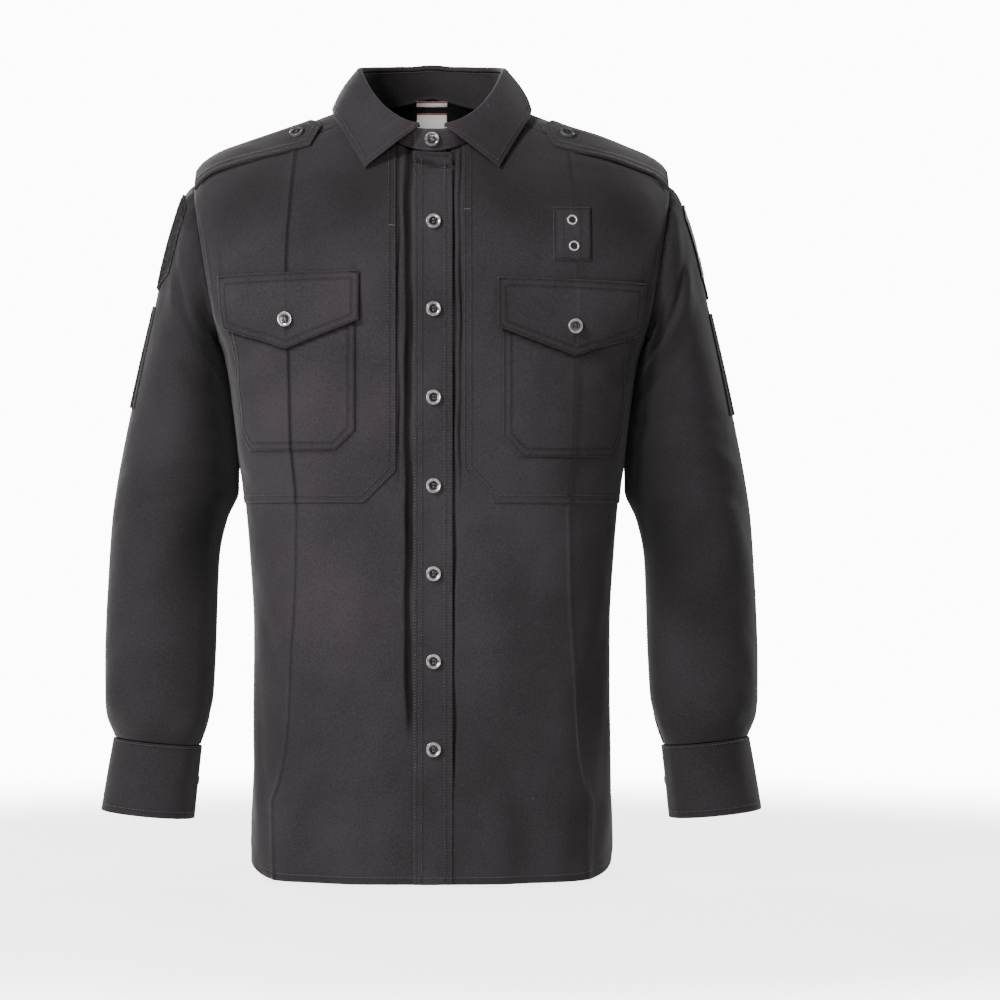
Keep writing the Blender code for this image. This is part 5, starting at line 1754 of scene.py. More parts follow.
def make_flap(side_name, form):
    row = table_row(FLAP_COLUMNS, FLAP, side_name)
    outline = flap_outline(row)
    low, width, top = row["inner"], row["width"], row["top"]
    mesh = joined(panel_grid(row, top - row["point_length"], 20))
    cut_to(mesh, outline, EDGE_SCORES)
    stand = flap_lift(row)

    def edge(u, v):
        return edge_distance(outline, u, v)

    def lift(u, v):
        return stand(u, v) + turned_edge(edge(u, v))

    cloth(f"flap_{side_name}", mesh, form, lift, FLAP_WALL, body_cloth,
          lambda u, v: near_rows(edge(u, v)))
    stitching = f"stitching_pocket_{side_name}"
    edge_rows(stitching, form, outline, lift, range(len(outline)))
    slot = low + row["pen_slot"]
    for u in (slot, slot + 1.2):
        sew(stitching, form, [(u, top - EDGE_STITCH), (u, top - INNER_STITCH - 3)], lift)
    for u, z in ((low + 2, top - 2), (low + width - 9, top - row["slope"] - 2)):
        bar_tack(stitching, form, (u, z), (u + 7, z), lift)
    middle, drop = low + width / 2, top - row["point_length"] + FLAP_BUTTON_ABOVE_POINT
    for u in (middle - 0.9, middle + 0.9):
        sew(stitching, form, [(u, drop - 8), (u, drop - 17)], lift, pitch=1.1, length=1.0)
    add_button(f"flap_button_{side_name}", form, middle, drop, stand)


def placket_free(z):
    """How far the placket's free edge stands off, least at the buttons."""
    heights = [PLACKET_BUTTON_TOP + PLACKET_BUTTON_STEP * k for k in range(PLACKET_BUTTONS)]
    held = np.max([ridge_profile((z - height) / PLACKET_HELD_REACH) for height in heights], axis=0)
    wave = 0.5 + 0.35 * np.sin(z / 23) + 0.25 * np.sin(z / 9.7 + 1)
    least, more = PLACKET_FREE
    return (least + more * wave * (1 - held)) * smooth_step((z - HEM_Z) / 12)


def make_placket():
    low, high = PLACKET[0], PLACKET[1] + PLACKET_COVER
    top = float(neck_z(0)) - 2 * SEAM
    form = torso_form("front")
    outline = rectangle(low, high, HEM_Z, top)
    edges = np.array((0, 0.7, 1.8, 3.2, 4.6, 6.2, 7.8, 10))
    us = np.concatenate((low + edges, (-4, 0, 3.5, 7), (high - edges)[::-1]))
    mesh = joined(tuple(np.meshgrid(us, np.linspace(HEM_Z, top, 190))))

    def edge(a, z):
        return edge_distance(outline, a, z, (0, 2))

    def ripple(a, z):
        """Crumples under the collar."""
        return np.sin((z - top) / 1.7 + a / 15)

    def lift(a, z):
        crumple = 1.9 * ridge_profile((z - top + 12) / 15) * ripple(a, z)
        loose = placket_free(z) * smooth_step((2 - a) / (2 - low))
        sewn = 0.3 * smooth_step((a - 7) / 6)
        proud = PLACKET_LIFT + turned_edge(edge(a, z)) + loose - sewn
        return proud + crumple * smooth_step((top - z) / 6)

    def shade(a, z):
        return 0.75 * ridge_profile((z - top + 11) / 14) * smooth_step(0.4 - ripple(a, z))

    cloth("placket", mesh, form, lift, PLY, body_cloth, lambda a, z: near_rows(edge(a, z)), shade)
    for leg in (0, 2):
        edge_rows("stitching_placket", form, outline, lift, (leg,))
    hem = HEM_Z + HEM_STITCH
    sew("stitching_placket", form, [(low + 1, hem), (high - 1, hem)], lift)
    for number in range(PLACKET_BUTTONS):
        height = PLACKET_BUTTON_TOP + PLACKET_BUTTON_STEP * number
        add_button(f"placket_button_{number + 1}", form, BUTTON_ARC, height, lift, 0)


def make_tab(form):
    (left, right), (bottom, top) = TAB_ARC, TAB_HEIGHT
    outline = rectangle(left, right, bottom, top)
    lift = laid_patch("badge_tab", form, outline, 2.5, TAB_EDGE, TAB_LIFT, TAB_WALL, body_cloth,
                      (EDGE_STITCH,), under=lambda u, v: -TAB_CREASE_LOSS * crease_relief(u, v))
    edge_rows("stitching_tab", form, outline, lift, range(4), rows=(EDGE_STITCH,))
    for u in TAB_ROWS:
        sew("stitching_tab", form, [(left + u, top - 2), (left + u, bottom + 2)], lift)
    for name, arc, z in EYELETS:
        make_eyelet(name, *form.spot(arc, z, lift))


def facing(place, normal):
    """A matrix in metres that stands a turned piece on a surface, its axis along the normal."""
    turn = Vector(normal).to_track_quat("Z", "Y").to_matrix().to_4x4()
    return Matrix.Translation(Vector(place) * MILLIMETRE) @ turn


def stood(place, normal, name, material):
    """Gives the piece just added its name and material, and stands it on a surface."""
    piece = bpy.context.object
    piece.name = name
    piece.data.materials.append(material)
    piece.data.transform(facing(place, normal))
    return piece


def add_cylinder(vertices, radius, depth, place=(0, 0, 0)):
    bpy.ops.mesh.primitive_cylinder_add(
        vertices=vertices, radius=radius * MILLIMETRE, depth=depth * MILLIMETRE,
        location=Vector(place) * MILLIMETRE)
    return bpy.context.object


def make_eyelet(name, point, normal):
    """A domed metal ring, and a dark disc in its hole as painted shade."""
    select_only()
    bpy.ops.mesh.primitive_torus_add(
        major_radius=(EYELET_RADIUS + EYELET_HOLE_RADIUS) / 2 * MILLIMETRE,
        minor_radius=(EYELET_RADIUS - EYELET_HOLE_RADIUS) / 2 * MILLIMETRE,
        major_segments=40, minor_segments=12, location=(0, 0, 0))
    bpy.ops.object.shade_smooth()
    bpy.context.object.data.transform(Matrix.Diagonal(EYELET_STRETCH))
    ring = stood(point + normal * 0.35, normal, f"eyelet_ring_{name}", nickel_and_painted_shine)
    finish_piece(ring, "eyelet_metal", f"eyelet_{name}")
    # Painted shade: a black disc stands for the shaded hole
    select_only()
    add_cylinder(32, EYELET_HOLE_RADIUS * 1.05, 0.4)
    finish_piece(stood(point + normal * 0.1, normal, f"eyelet_hole_shade_{name}", field_thread),
                 "twill")


# Yoke and back

def yoke_grid():
    neck_turn = float(yoke_turn(0.0, neck_point(180.0)[2], True))

    def inner(turn):
        if turn >= neck_turn:
            return 0.0, turn
        if turn > 0:
            degrees = blend(90, 180, turn / neck_turn)
        else:
            degrees = blend(90, YOKE_NECK_DEGREES, -turn)
        x, _, z = neck_point(degrees)
        return x, float(yoke_turn(x, z, degrees > 90))

    def outer(turn):
        end = YOKE_BACK_Z + SEAM if turn > 0 else yoke_seam_z(YOKE_END_X) + SEAM
        z = blend(ARMHOLE_TOP[1], end, turn * turn)
        x = armhole_x(z) - SEAM
        return x, float(yoke_turn(x, z, turn > 0))

    turns = np.concatenate((np.linspace(1, neck_turn, 12), np.linspace(neck_turn, 0, 16)[1:],
                            np.linspace(0, -1, 12)[1:]))
    shares = np.linspace(0, 1, 44)
    half_u, half_v = [], []
    for turn in turns[::-1]:
        start, end = inner(turn), outer(turn)
        half_u.append(blend(start[0], end[0], shares))
        half_v.append(blend(start[1], end[1], shares))
    mirrored_u = [-u[::-1] for u in half_u]
    mirrored_v = [v[::-1] for v in half_v]
    return (half_u, half_v), (mirrored_u, mirrored_v)


def make_yoke():
    form = Form(yoke_base, 1, None, (0.8, 0.012))
    # The yoke's inside faces take the near-black twill as painted shade
    cloth("yoke", joined(*yoke_grid()), form, 0, WALL, body_cloth,
          lambda u, v: ridge_profile((v - 0.97) / 0.06), unit=(1, 75), inside=shaded_inner_cloth)
    for turn in YOKE_BACK_ROWS:
        sew("stitching_yoke", form, [(x, turn) for x in np.linspace(-226, 226, 40)], 0)
    for side in (1, -1):
        heights = np.linspace(-108, ARMHOLE_TOP[1], 24)[:-1]
        for distance in SEAM_ROWS:
            places = armhole_x(heights) - distance
            line = np.column_stack((side * places, yoke_turn(places, heights, True)))
            sew("stitching_yoke", form, line, 0)
        for turn in YOKE_FRONT_ROWS:
            line = [(side * x, turn) for x in np.linspace(60, 228, 30)]
            sew("stitching_yoke", form, line, 0, lambda u, v: np.abs(u) > 76)


def pleat_lift(arc, z):
    """The back panel steps over the side back and stands open at its pleat edge."""
    edge = PLEAT_CURVES["edge"](z)
    step = smooth_step((np.abs(arc) - edge + PLEAT_LEAD) / PLEAT_RISE) * PLEAT_STEP
    stand = smooth_step((np.abs(arc) - edge + PLEAT_FOLD) / PLEAT_FOLD) * PLEAT_CURVES["stand"](z)
    return step + stand - 0.5 * ridge_profile((np.abs(arc) - edge) / 1.2)


def make_back():
    form = torso_form("back")
    offsets = np.array((0, 0.7, 2, 4, 7, 10, 14, 18, 23, 29, 36, 44, 52))
    us, vs = [], []
    for z in np.linspace(HEM_Z, YOKE_BACK_Z - SEAM, 130):
        edge = float(PLEAT_CURVES["edge"](z))
        flat = np.linspace(0, edge - offsets[-1] - 6, 15)
        half = np.concatenate((flat, (edge - offsets)[::-1]))
        us.append(np.concatenate((-half[:0:-1], half)))
        vs.append(np.full(2 * len(half) - 1, z))
    cloth("back_centre", joined((us, vs)), form, pleat_lift, WALL, body_cloth, hem_seam)
    reach = float(PLEAT_CURVES["edge"](HEM_Z)) - 1
    sew("stitching_back", form, [(u, HEM_Z + HEM_STITCH) for u in np.linspace(-reach, reach, 30)],
        pleat_lift)
    for side_name, side in SIDES:
        make_side_back(side_name, side)


def make_side_back(side_name, side):
    form = torso_form("back", side)
    shares = np.linspace(0, 1, 26)
    us, vs = [], []
    for t in np.linspace(0, 1, 90):
        level = blend(HEM_Z, ARMHOLE_LOW[1], t)
        start = float(PLEAT_CURVES["edge"](level)) - PLEAT_UNDERLAP
        whole = blend(start / float(side_arc(level, "back")), 1, shares)
        z = blend(hem_height(whole), ARMHOLE_LOW[1], t)
        us.append(blend(start, side_arc(z, "back") - SEAM / 2, shares))
        vs.append(z)
    for t in np.linspace(0, 1, 26)[1:]:
        inner_z = blend(ARMHOLE_LOW[1], YOKE_BACK_Z - SEAM, t)
        outer_z = armhole_height(blend(180, armhole_turn(YOKE_BACK_Z - SEAM), t))
        start = float(PLEAT_CURVES["edge"](inner_z)) - PLEAT_UNDERLAP
        end = torso_arc(armhole_x(outer_z) - SEAM, outer_z, "back")
        us.append(blend(start, end, shares))
        vs.append(blend(inner_z, outer_z, shares))
    cloth(f"back_side_{side_name}", joined((us, vs)), form, 0, WALL, body_cloth, hem_seam)
    start = float(PLEAT_CURVES["edge"](HEM_Z))
    sew("stitching_back", form, hem_line("back", start, 30), 0)
    sew_side("stitching_back", form, "back", 0, np.linspace(*BACK_ARMHOLE_SPAN, 26))


# Sleeves, cuffs and what lies on them

def patch_outline(row):
    """A rectangle, or a badge with cut shoulders and a blunt point."""
    left, right = row["arc"] - row["width"] / 2, row["arc"] + row["width"] / 2
    top, bottom = -row["top"], -row["top"] - row["length"]
    cut, rise = row["shoulder"], row["point"]
    if not cut:
        return rectangle(left, right, bottom, top)
    foot = row["width"] * PATCH_FOOT_SHARE
    return [(left + cut, top), (left, top - cut), (left, bottom + rise), (left + foot, bottom),
            (right - foot, bottom), (right, bottom + rise), (right, top - cut), (right - cut, top)]


def make_sleeve(side_name, side):
    form = sleeve_form(side)
    around = np.linspace(-1, 1, 97)
    us, vs = [], []
    for height in -np.concatenate((np.linspace(0, 30, 13),
                                   np.linspace(30, SLEEVE_LENGTH, 112)[1:])):
        us.append(around * sleeve_half(around, height))
        vs.append(np.full(len(around), height))

    def shade(u, v):
        """The side towards the body is darker."""
        inner = smooth_step((np.abs(u) / sleeve_half(u, v) - 0.42) / 0.36)
        return 0.82 * inner * smooth_step((-v - 14) / 70) * smooth_step((v + 470) / 120)

    cloth(f"sleeve_{side_name}", joined((us, vs)), form, 0, WALL, shaded_twill,
          lambda u, v: ridge_profile(v / 12), shade, tube=True)
    vent = ring_arc(VENT_DEGREES, SLEEVE[-1][0] - 1)
    low, high = vent - VENT_WIDTH / 2, vent + VENT_WIDTH / 2
    bottom, top = -SLEEVE_LENGTH + 0.5, -SLEEVE_LENGTH + VENT_LENGTH
    outline = rectangle(low, high, bottom, top)
    lift = laid_patch(f"sleeve_placket_{side_name}", form, outline, 3, VENT_EDGE, LAYER + PLY, PLY,
                      shaded_twill, (EDGE_STITCH,))
    stitching = f"stitching_sleeve_{side_name}"
    edge_rows(stitching, form, outline, lift, range(4), rows=(EDGE_STITCH,))
    sew(stitching, form, [(low + 2, top - 26), (high - 2, top - 26)], lift)
    heights = np.linspace(-20, -SLEEVE_LENGTH + 4, 50)
    for distance in (3.0, 9.0):
        sew(stitching, form, np.column_stack((distance - sleeve_half(-1, heights), heights)), 0)
    return form


def make_cuff(side_name, side):
    form = Form(lambda u, v: mirrored(cuff_base(u, v), side), -side, None, (0.8, 0.8))
    end = 360 + CUFF_LAP_DEGREES
    turns = np.concatenate(((0, 0.8, 2), np.linspace(4, end - 6, 100),
                            (end - 4, end - 2, end - 0.8, end)))
    heights = -np.array((72, 71.3, 70, 67.5, 65.5, 63, 55, 46, 36, 26, 16, 9, 5, 2.2, 0.8, 0.0))

    def lift(u, v):
        roll = np.interp(np.minimum(-v, CUFF_LENGTH + v), (0, 0.8, 2.2), (-0.5, 0, 0.05))
        ends = np.interp(np.minimum(u, end - u), (0, 0.8), (-0.5, 0))
        soft = 0.35 * np.sin(np.radians(u * 5 + 20)) * ridge_profile((v + 34) / 34)
        return cuff_lift(u) + roll + ends + soft

    def seams(u, v):
        return np.maximum(near_rows(-v, (CUFF_TOP_STITCH,), 3),
                          near_rows(CUFF_LENGTH + v, (CUFF_STITCH,), 3))

    cloth(f"cuff_{side_name}", joined(tuple(np.meshgrid(turns, heights))), form, lift, CUFF_WALL,
          shaded_twill, seams, unit=(0.72, 1))
    stitching, low_row = f"stitching_sleeve_{side_name}", -CUFF_LENGTH + CUFF_STITCH
    for height in (-CUFF_TOP_STITCH, low_row):
        sew(stitching, form, [(u, height) for u in np.linspace(4, end - 4, 60)], lift)
    sew(stitching, form, [(end - 4, -3), (end - 4, low_row)], lift)
    add_button(f"cuff_button_{side_name}", form, end - CUFF_BUTTON_DEGREES, -CUFF_LENGTH / 2,
               cuff_lift)


def make_loops(name, form, outline, lift, margin, density):
    """Thousands of small bent loops of yarn standing on a pad."""
    random = np.random.default_rng(len(name) * 7 + 3)
    low, high = np.min(outline, axis=0), np.max(outline, axis=0)
    count = int((high - low).prod() * density)
    u, v = (random.uniform(a, b, count) for a, b in zip(low, high))
    inside = (edge_distance(outline, u, v) > 0.8)
    inside &= (u - low[0] > margin) & (high[0] - u > margin)
    u, v = u[inside], v[inside]
    point, normal = form.at(u, v, lift)
    turn = random.uniform(0, 2 * math.pi, len(u))[:, None]
    reach = random.uniform(*LOOP_REACH, len(u))[:, None]
    across = unit_vectors(form.at(u + 0.5, v, lift)[0] - point)
    along = across * np.cos(turn) + np.cross(normal, across) * np.sin(turn)
    side = np.cross(normal, along) * YARN_HALF_WIDTH
    height = random.uniform(*LOOP_HEIGHT, len(u))[:, None]
    feet = point - normal * YARN_SINK
    rings = []
    for middle, rise in ((feet - along * reach, along), (point + normal * height, normal),
                         (feet + along * reach, -along)):
        rise = rise * YARN_RISE
        rings += [middle + side - rise, middle - side - rise, middle + rise * 1.2]
    body = [(k + a, k + b, k + 3 + b, k + 3 + a)
            for k in (0, 3) for a, b in ((0, 1), (1, 2), (2, 0))]
    many_bodies(name, np.stack(rings, axis=1), body + [(2, 1, 0), (6, 7, 8)], loop_tape,
                "loop_tape")


def make_pad(row, form):
    """The embroidered patch, a pad of its shape, or a plain pad with a bare edge."""
    columns = dict(zip(PATCH_COLUMNS, row))
    name, shaped, emblem = columns["name"], columns["shoulder"] > 0, row[0] == "patch_left"
    outline = patch_outline(columns)
    wall = LAYER + PATCH_WALL
    material = field_thread if emblem else loop_tape if shaped else selvedge
    lift = laid_patch(name, form, outline, 3, PAD_EDGE, wall, PATCH_WALL, material,
                      slot="embroidery" if emblem else "loop_tape")
    if emblem:
        make_emblem(columns, form, outline, wall)
        return
    make_loops(f"loops_{name}", form, outline, wall, 0.8 if shaped else 3.4, LOOP_DENSITY)
    stitching = "stitching_sleeve_" + ("left" if columns["side"] > 0 else "right")
    edge_rows(stitching, form, outline, lift, range(len(outline)), rows=(PAD_STITCH,))


def raised(name, form, shapes, lift, material):
    """Thin raised embroidery of several convex shapes."""
    mesh = bmesh.new()
    for shape in shapes:
        low, high = np.min(shape, axis=0) - 0.5, np.max(shape, axis=0) + 0.5
        part = joined(even_grid(low[0], high[0], low[1], high[1], 2))
        cut_to(part, shape, (0.5,))
        keep = bpy.data.meshes.new("shape")
        part.to_mesh(keep)
        part.free()
        mesh.from_mesh(keep)
        bpy.data.meshes.remove(keep)
    cloth(name, mesh, form, lift, EMBROIDERY_WALL, material, slot="embroidery", solid=False)


def satin_border(outline, form, lift):
    """Close stitches across a line inside the patch's edge, longer where it runs aslant."""
    chain = inset(outline, BORDER_INSET)
    for start, end in legs_of(chain):
        start, run = np.array(start), np.subtract(end, start)
        length = math.hypot(*run)
        along = run / length
        reach = BORDER_ASLANT if abs(along.prod()) > 0.1 else BORDER_REACH
        half = np.array((-along[1], along[0])) * reach + along * BORDER_LEAN
        for step in np.arange(0, length, BORDER_STEP):
            place = start + run * (step / length)
            sew("patch_border", form, [place - half, place + half], lift, pitch=3.0, length=2.9)


def make_emblem(columns, form, outline, wall):
    """A plain generic badge: a border, a ring round a lozenge, and two chevrons."""
    centre, middle = columns["arc"], -columns["top"] - RING_DROP
    satin_border(outline, form, wall + 0.15)
    turns = [k * math.pi / 12 for k in range(25)]
    ring, small = ([(centre + radius * math.sin(turn), middle + radius * math.cos(turn))
                    for turn in turns] for radius in RING_RADII)
    bars = [(ring[k], small[k], small[k + 1], ring[k + 1]) for k in range(24)]
    raised("patch_ring", form, [inner_turn(bar) for bar in bars], wall + 0.45, gold_thread)
    wide, high = LOZENGE
    lozenge = [(centre, middle + high), (centre - wide, middle), (centre, middle - high),
               (centre + wide, middle)]
    raised("patch_lozenge", form, [lozenge], wall + 0.5, white_thread)
    for name, drop, material in CHEVRONS:
        top = -columns["top"] - drop
        left = [(centre - CHEVRON_REACH, top), (centre - CHEVRON_REACH, top - 5),
                (centre, top - 15), (centre, top - 10)]
        right = [(2 * centre - u, v) for u, v in reversed(left)]
        raised(f"patch_chevron_{name}", form, [inner_turn(left), inner_turn(right)], wall + 0.45,
               material)


def inner_turn(shape):
    """The shape's corners in anticlockwise order."""
    corners = np.array(shape)
    following = np.roll(corners, -1, axis=0)
    area = (corners[:, 0] * following[:, 1] - corners[:, 1] * following[:, 0]).sum()
    return list(shape) if area > 0 else list(reversed(shape))


# Collar, straps and labels

def make_stand():
    form = Form(stand_base, 1, None, (0.8, 0.02))
    low, high = -STAND_LAP_DEGREES, 360 + STAND_LAP_DEGREES
    turns = np.concatenate((np.linspace(low, 30, 34), np.linspace(30, 330, 120)[1:],
                            np.linspace(330, high, 34)[1:]))
    us, vs = np.meshgrid(turns, STAND_SHARES)
    # The sewn-in lower edge reaches past the yoke's neck edge, less at the labels and front.
    tuck = smooth_step((turns - 25) / 15) * smooth_step((335 - turns) / 15)
    tuck = tuck * (1.2 - 0.6 * ridge_profile((turns - 180) / 45))
    vs[:2] *= np.maximum(tuck, 0.1)

    def lift(u, v):
        ends = np.interp(np.minimum(u - low, high - u), (0, 1.3), (-0.4, 0))
        return stand_lift(u) + ends + np.interp(v, *STAND_EDGE)

    # The stand's inside faces take the darker twill as painted shade
    cloth("collar_stand", joined((us, vs)), form, lift, STAND_WALL, body_cloth, unit=(1.35, 26),
          inside=shaded_twill)
    bottom, top = STAND_ROWS
    for share in STAND_ROWS:
        sew("stitching_collar", form, [(u, share) for u in np.linspace(low + 1.5, 14, 10)], lift)
    sew("stitching_collar", form, [(low + 1.5, bottom), (low + 1.5, top)], lift)
    share = COLLAR_BUTTON_HEIGHT / float(STAND_CURVES["height"](0))
    add_button("collar_button", form, 0, share, stand_lift, 0)


def leaf_length(turned):
    """Length of the leaf from the stand's top to its free edge."""
    return np.interp(np.where(turned <= 180, turned, 360 - turned), LEAF_DEGREES, LEAF_LENGTHS)


LEAF_LENGTHS = lengths_along(np.moveaxis(LEAF_POINTS, 1, 0))[-1]
LEAF_MM_PER_DEGREE = 1.75


def make_leaf():
    form = Form(leaf_base, -1, None, (0.8, 0.01))
    start, end = LEAF_START_DEGREES, 360 - LEAF_START_DEGREES
    near = np.array((0, 0.4, 1.0, 2.0, 3.1, 4.6))
    turns = np.concatenate((start + near, np.linspace(start + 6.5, end - 6.5, 150),
                            end - near[::-1]))
    lengths = leaf_length(turns)
    rows = [share * (1 - 11 / lengths) for share in np.linspace(0, 1, 26)[:-1]]
    rows += [1 - distance / lengths for distance in LEAF_EDGE_ROLL[0][::-1]]

    def edge(u, v):
        front = np.minimum(u - start, end - u) * LEAF_MM_PER_DEGREE
        return np.minimum(front, (1 - v) * leaf_length(u))

    def lift(u, v):
        waves = 0.5 * np.sin(np.radians(u) * 9) * smooth_step(v) * smooth_step(edge(u, v) / 10)
        return np.interp(edge(u, v), *LEAF_EDGE_ROLL) + waves

    cloth("collar_leaf", joined(([turns] * len(rows), rows)), form, lift, LEAF_WALL, body_cloth,
          lambda u, v: near_rows(edge(u, v), (LEAF_STITCH,), 3), unit=(1.75, 70))
    front = LEAF_STITCH / LEAF_MM_PER_DEGREE
    turns = np.linspace(start + front, end - front, 90)
    line = [(turns[0], share) for share in np.linspace(0.16, 0.9, 10)]
    line += list(zip(turns, 1 - LEAF_STITCH / leaf_length(turns)))
    line += [(turns[-1], share) for share in np.linspace(0.9, 0.16, 10)]
    sew("stitching_collar", form, line, lift)


def make_strap(side_name, side):
    def base(u, v):
        y = STRAP_CURVES["centre_y"](v) + u
        return np.stack((-v * side, y, shoulder_height(-v, y)), axis=-1)

    form = Form(base, side, None, (0.8, 0.8))
    start, point = STRAP[0][0], STRAP_TIP - STRAP_CORNER
    across = np.array((0.18, 0.35, 0.5, 0.63, 0.75, 0.85, 0.91, 0.97, 1))
    across = np.concatenate((-across[::-1], (0,), across))
    us, vs = [], []
    for station in np.linspace(start, STRAP_CORNER, 40):
        us.append(across * float(STRAP_CURVES["half_width"](station)))
        vs.append(np.full(len(across), station))
    half = float(STRAP_CURVES["half_width"](STRAP_CORNER))
    for t in (0.25, 0.5, 0.75, 0.9, 0.97, 1):
        us.append(across * half)
        vs.append(STRAP_CORNER + point * (1 - np.abs(across)) * t)
    slope = math.hypot(1, point / half)

    def edge(u, v):
        sides = STRAP_CURVES["half_width"](np.minimum(v, STRAP_CORNER)) - np.abs(u)
        return np.minimum(sides, (STRAP_TIP - point * np.abs(u) / half - v) / slope)

    def lift(u, v):
        wave = 0.5 * np.sin(v / 13 + side) * smooth_step((v - start) / 15)
        return (strap_lift(u, v) + np.interp(edge(u, v), *STRAP_EDGE)
                + wave * smooth_step((-124 - v) / 18))

    cloth(f"shoulder_strap_{side_name}", joined((us, vs)), form, lift, STRAP_WALL, body_cloth,
          lambda u, v: near_rows(edge(u, v), STRAP_ROWS))
    for distance in STRAP_ROWS:
        bend = STRAP_CORNER - distance * (slope - point / half)
        line = [(-half + distance, v) for v in np.linspace(start + 1, bend, 20)]
        line.append((0, STRAP_TIP - distance * slope))
        line += [(half - distance, v) for v in np.linspace(bend, start + 1, 20)]
        sew("stitching_straps", form, line, lift)
    add_button(f"strap_button_{side_name}", form, 0, STRAP_BUTTON, strap_lift)


def make_labels():
    form = Form(lambda u, v: yoke_base(u, yoke_turn(u, v, True)), -1, None, (0.8, 0.4))
    under = -WALL - LAYER
    for name, half, top, bottom in LABELS:
        cloth(f"neck_label_{name}", joined(even_grid(-half, half, bottom, top, 1.5)), form, under,
              LABEL_WALL, satin, slot="label_tape")
        cloth(f"label_edge_{name}", joined(even_grid(-half, half, top - 1.1, top, 1.0)), form,
              under - LABEL_WALL + 0.1, 0.2, red_edge, slot="label_tape", solid=False)


# Buttons

def button_mesh():
    """A four-hole button with a raised rim, modelled once at its size."""
    select_only()
    button = add_cylinder(48, BUTTON_RADIUS, BUTTON_THICKNESS, (0, 0, BUTTON_THICKNESS / 2))
    bpy.ops.object.transform_apply(location=True)
    bpy.ops.object.mode_set(mode="EDIT")
    bpy.ops.mesh.select_mode(type="FACE")
    bpy.ops.mesh.select_all(action="DESELECT")
    shape = bmesh.from_edit_mesh(button.data)
    for face in shape.faces:
        face.select_set(face.normal.z > 0.9)
    bmesh.update_edit_mesh(button.data)
    for thickness, drop in BUTTON_STEPS:
        bpy.ops.mesh.inset(thickness=thickness * MILLIMETRE)
        bpy.ops.transform.translate(value=(0, 0, drop * MILLIMETRE))
    bpy.ops.object.mode_set(mode="OBJECT")
    holes = [add_cylinder(16, BUTTON_HOLE_RADIUS, 10, (x, y, 0))
             for x in BUTTON_HOLES for y in BUTTON_HOLES]
    cutter = holes[0]
    select_only(*holes[::-1])
    bpy.ops.object.join()
    add_modifier(button, "Holes", "BOOLEAN", operation="DIFFERENCE", solver="EXACT", object=cutter)
    add_modifier(button, "Rounded edges", "BEVEL", width=0.35 * MILLIMETRE, segments=3,
                 limit_method="ANGLE", angle_limit=math.radians(40))
    select_only(button)
    for modifier in list(button.modifiers):
        bpy.ops.object.modifier_apply(modifier=modifier.name)
    bpy.ops.object.shade_smooth_by_angle(angle=math.radians(50))
    button.data.materials.append(resin)
    # Marks the rim, which the resin paints light grey as a painted highlight
    rim = button.data.attributes.new("rim", "FLOAT", "POINT")
    for mark, vert in zip(rim.data, button.data.vertices):
        mark.value = float(vert.co.xy.length > BUTTON_DISH_RADIUS * MILLIMETRE)
    bpy.data.objects.remove(cutter)
    return button


def add_button(name, form, u, v, lift, gap=BUTTON_CURVE_GAP):
    """A button on its form, with two threads through its holes."""
    point, normal = form.spot(u, v, lift)
    data = master_button.data.copy()
    # The collar and strap buttons lie in shade: their painted rim highlight is dimmed as painted
    # shade
    if "collar" in name or "strap" in name:
        for mark in data.attributes["rim"].data:
            mark.value *= SHADED_RIM
    place = facing(point + normal * (gap + BUTTON_GAP), normal)
    data.transform(place)
    finish_piece(link_object(f"{name}_disc", data), "button_resin", name)
    floor = BUTTON_THICKNESS - 0.75
    for y in BUTTON_HOLES:
        for step in (-0.28, 0.28):
            ends = (place @ (Vector((x, y + step, floor)) * MILLIMETRE) for x in (-1.5, 1.5))
            start, end = (np.array([end]) / MILLIMETRE for end in ends)
            stitch_runs.setdefault("button_thread", []).append((start, end, np.array([normal])))


# Putting the shirt together

master_button = button_mesh()

for side_name, side in SIDES:
    make_front(side_name, side)
    front_form = torso_form("front", side)
    make_chest(side_name, front_form)
    make_pocket(side_name, front_form)
    make_flap(side_name, front_form)
    if side > 0:
        make_tab(front_form)
make_placket()
make_yoke()
make_back()
for side_name, side in SIDES:
    sleeve = make_sleeve(side_name, side)
    make_cuff(side_name, side)
    for row in PATCHES:
        if row[1] == side:
            make_pad(row, sleeve)
make_stand()
make_leaf()
for side_name, side in SIDES:
    make_strap(side_name, side)
make_labels()
bpy.data.objects.remove(master_button)

for name in sorted(stitch_runs):
    if name == "patch_border":
        make_stitching(name, white_thread, "embroidery")
    # Pocket and tab rows: black thread, widened as painted shade of the stitch holes
    elif "pocket" in name or "tab" in name:
        make_stitching(name, thread_and_hole_shade, "twill", HOLE_SHADE_HALF_WIDTH)
    else:
        make_stitching(name, thread, "twill")


# Stage, light and camera

# Name, place and target in metres, size and watts
LAMPS = (
    ("Key", (-1.9, -2.1, 1.6), (0, 0, -0.35), 0.6, 81),
    ("Front", (-0.5, -1.15, -0.28), (-0.08, 0, -0.33), 0.4, 6.5),
    ("Fill", (1.9, -2.6, -0.1), (0, 0, -0.4), 1.6, 9),
    ("Back left", (-1.2, 2.6, 1.1), (0, 0, -0.35), 1.2, 58),
    ("Back right", (2.5, 1.7, 0.5), (0, 0, -0.35), 1.2, 52),
    ("Side", (-2.7, 1.4, 0.1), (0, 0, -0.35), 1.2, 8),
)


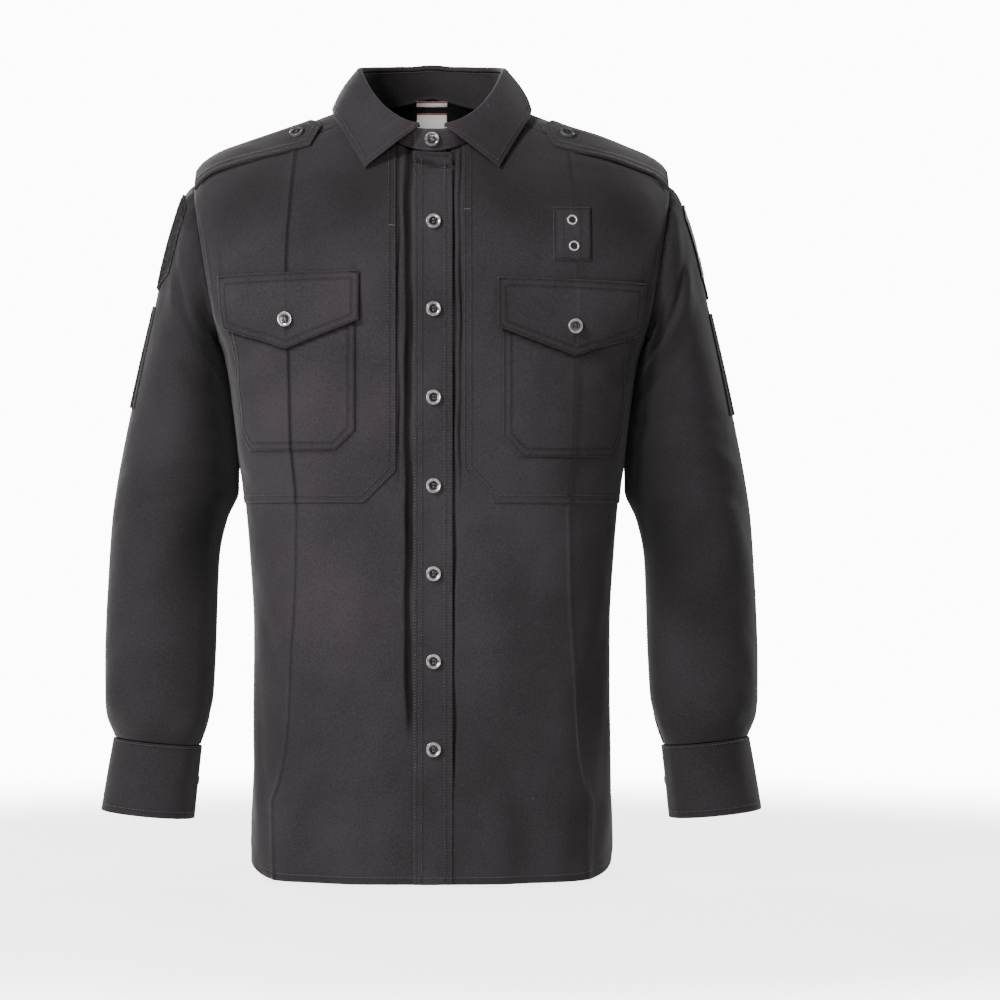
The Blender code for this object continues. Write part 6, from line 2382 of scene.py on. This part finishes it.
def make_stage():
    """A pale floor that fades out with the distance."""
    select_only()
    bpy.ops.mesh.primitive_plane_add(size=14, location=(0, 0, HEM_Z * MILLIMETRE - 0.004))
    floor = bpy.context.object
    floor.name = "stage_floor"
    material, tree, shader = new_material("Pale floor", 0.6)
    place = object_place(tree)
    length = add_node(tree, "ShaderNodeVectorMath", operation="LENGTH")
    tree.links.new(place, length.inputs[0])
    near = maths(tree, "SUBTRACT", 1.0, ramp(tree, length.outputs["Value"], 0.74, 1.5))
    tree.links.new(maths(tree, "MULTIPLY", near, 0.72), shader.inputs["Alpha"])
    tone = mixed(tree, noise(tree, place, 4.0), (0.86, 0.86, 0.86), (0.89, 0.89, 0.89))
    tree.links.new(tone, shader.inputs["Base Color"])
    floor.data.materials.append(material)


def aimed(data, place, target):
    """Adds a lamp or the camera at a place, turned towards a target."""
    made = link_object(data.name, data)
    made.location = place
    made.rotation_euler = (Vector(target) - Vector(place)).to_track_quat("-Z", "Y").to_euler()
    return made


def area_light(name, place, target, size, power):
    data = bpy.data.lights.new(name, "AREA")
    data.shape = "DISK"
    data.size = size
    data.energy = power
    aimed(data, place, target).visible_camera = False


def label_light():
    """A narrow lamp into the open neck, where the collar shades the labels."""
    data = bpy.data.lights.new("Labels", "SPOT")
    data.energy = 26
    data.spot_size = math.radians(2.0)
    data.spot_blend = 0.35
    data.shadow_soft_size = 0.01
    aimed(data, (0, -1.3, -0.15), (0, 0.055, -0.004))


def make_world():
    """Dim and even for the shirt, and plain white behind it."""
    world = bpy.data.worlds.new("Studio")
    bpy.context.scene.world = world
    world.use_nodes = True
    tree = world.node_tree
    back = tree.nodes["Background"]
    set_sockets(back, Color=(1, 1, 1, 1))
    path = add_node(tree, "ShaderNodeLightPath")
    strength = add_node(tree, "ShaderNodeMapRange", {"To_Min": 0.12, "To_Max": 12.0})
    tree.links.new(path.outputs["Is Camera Ray"], strength.inputs["Value"])
    tree.links.new(strength.outputs["Result"], back.inputs["Strength"])


def make_camera():
    data = bpy.data.cameras.new("Photo view")
    data.lens = 129.6
    data.sensor_width = 36
    bpy.context.scene.camera = aimed(data, (0, -3.6, -0.39), (0.068, 0, -0.39))


make_stage()
make_world()
for lamp in LAMPS:
    area_light(*lamp)
label_light()
make_camera()
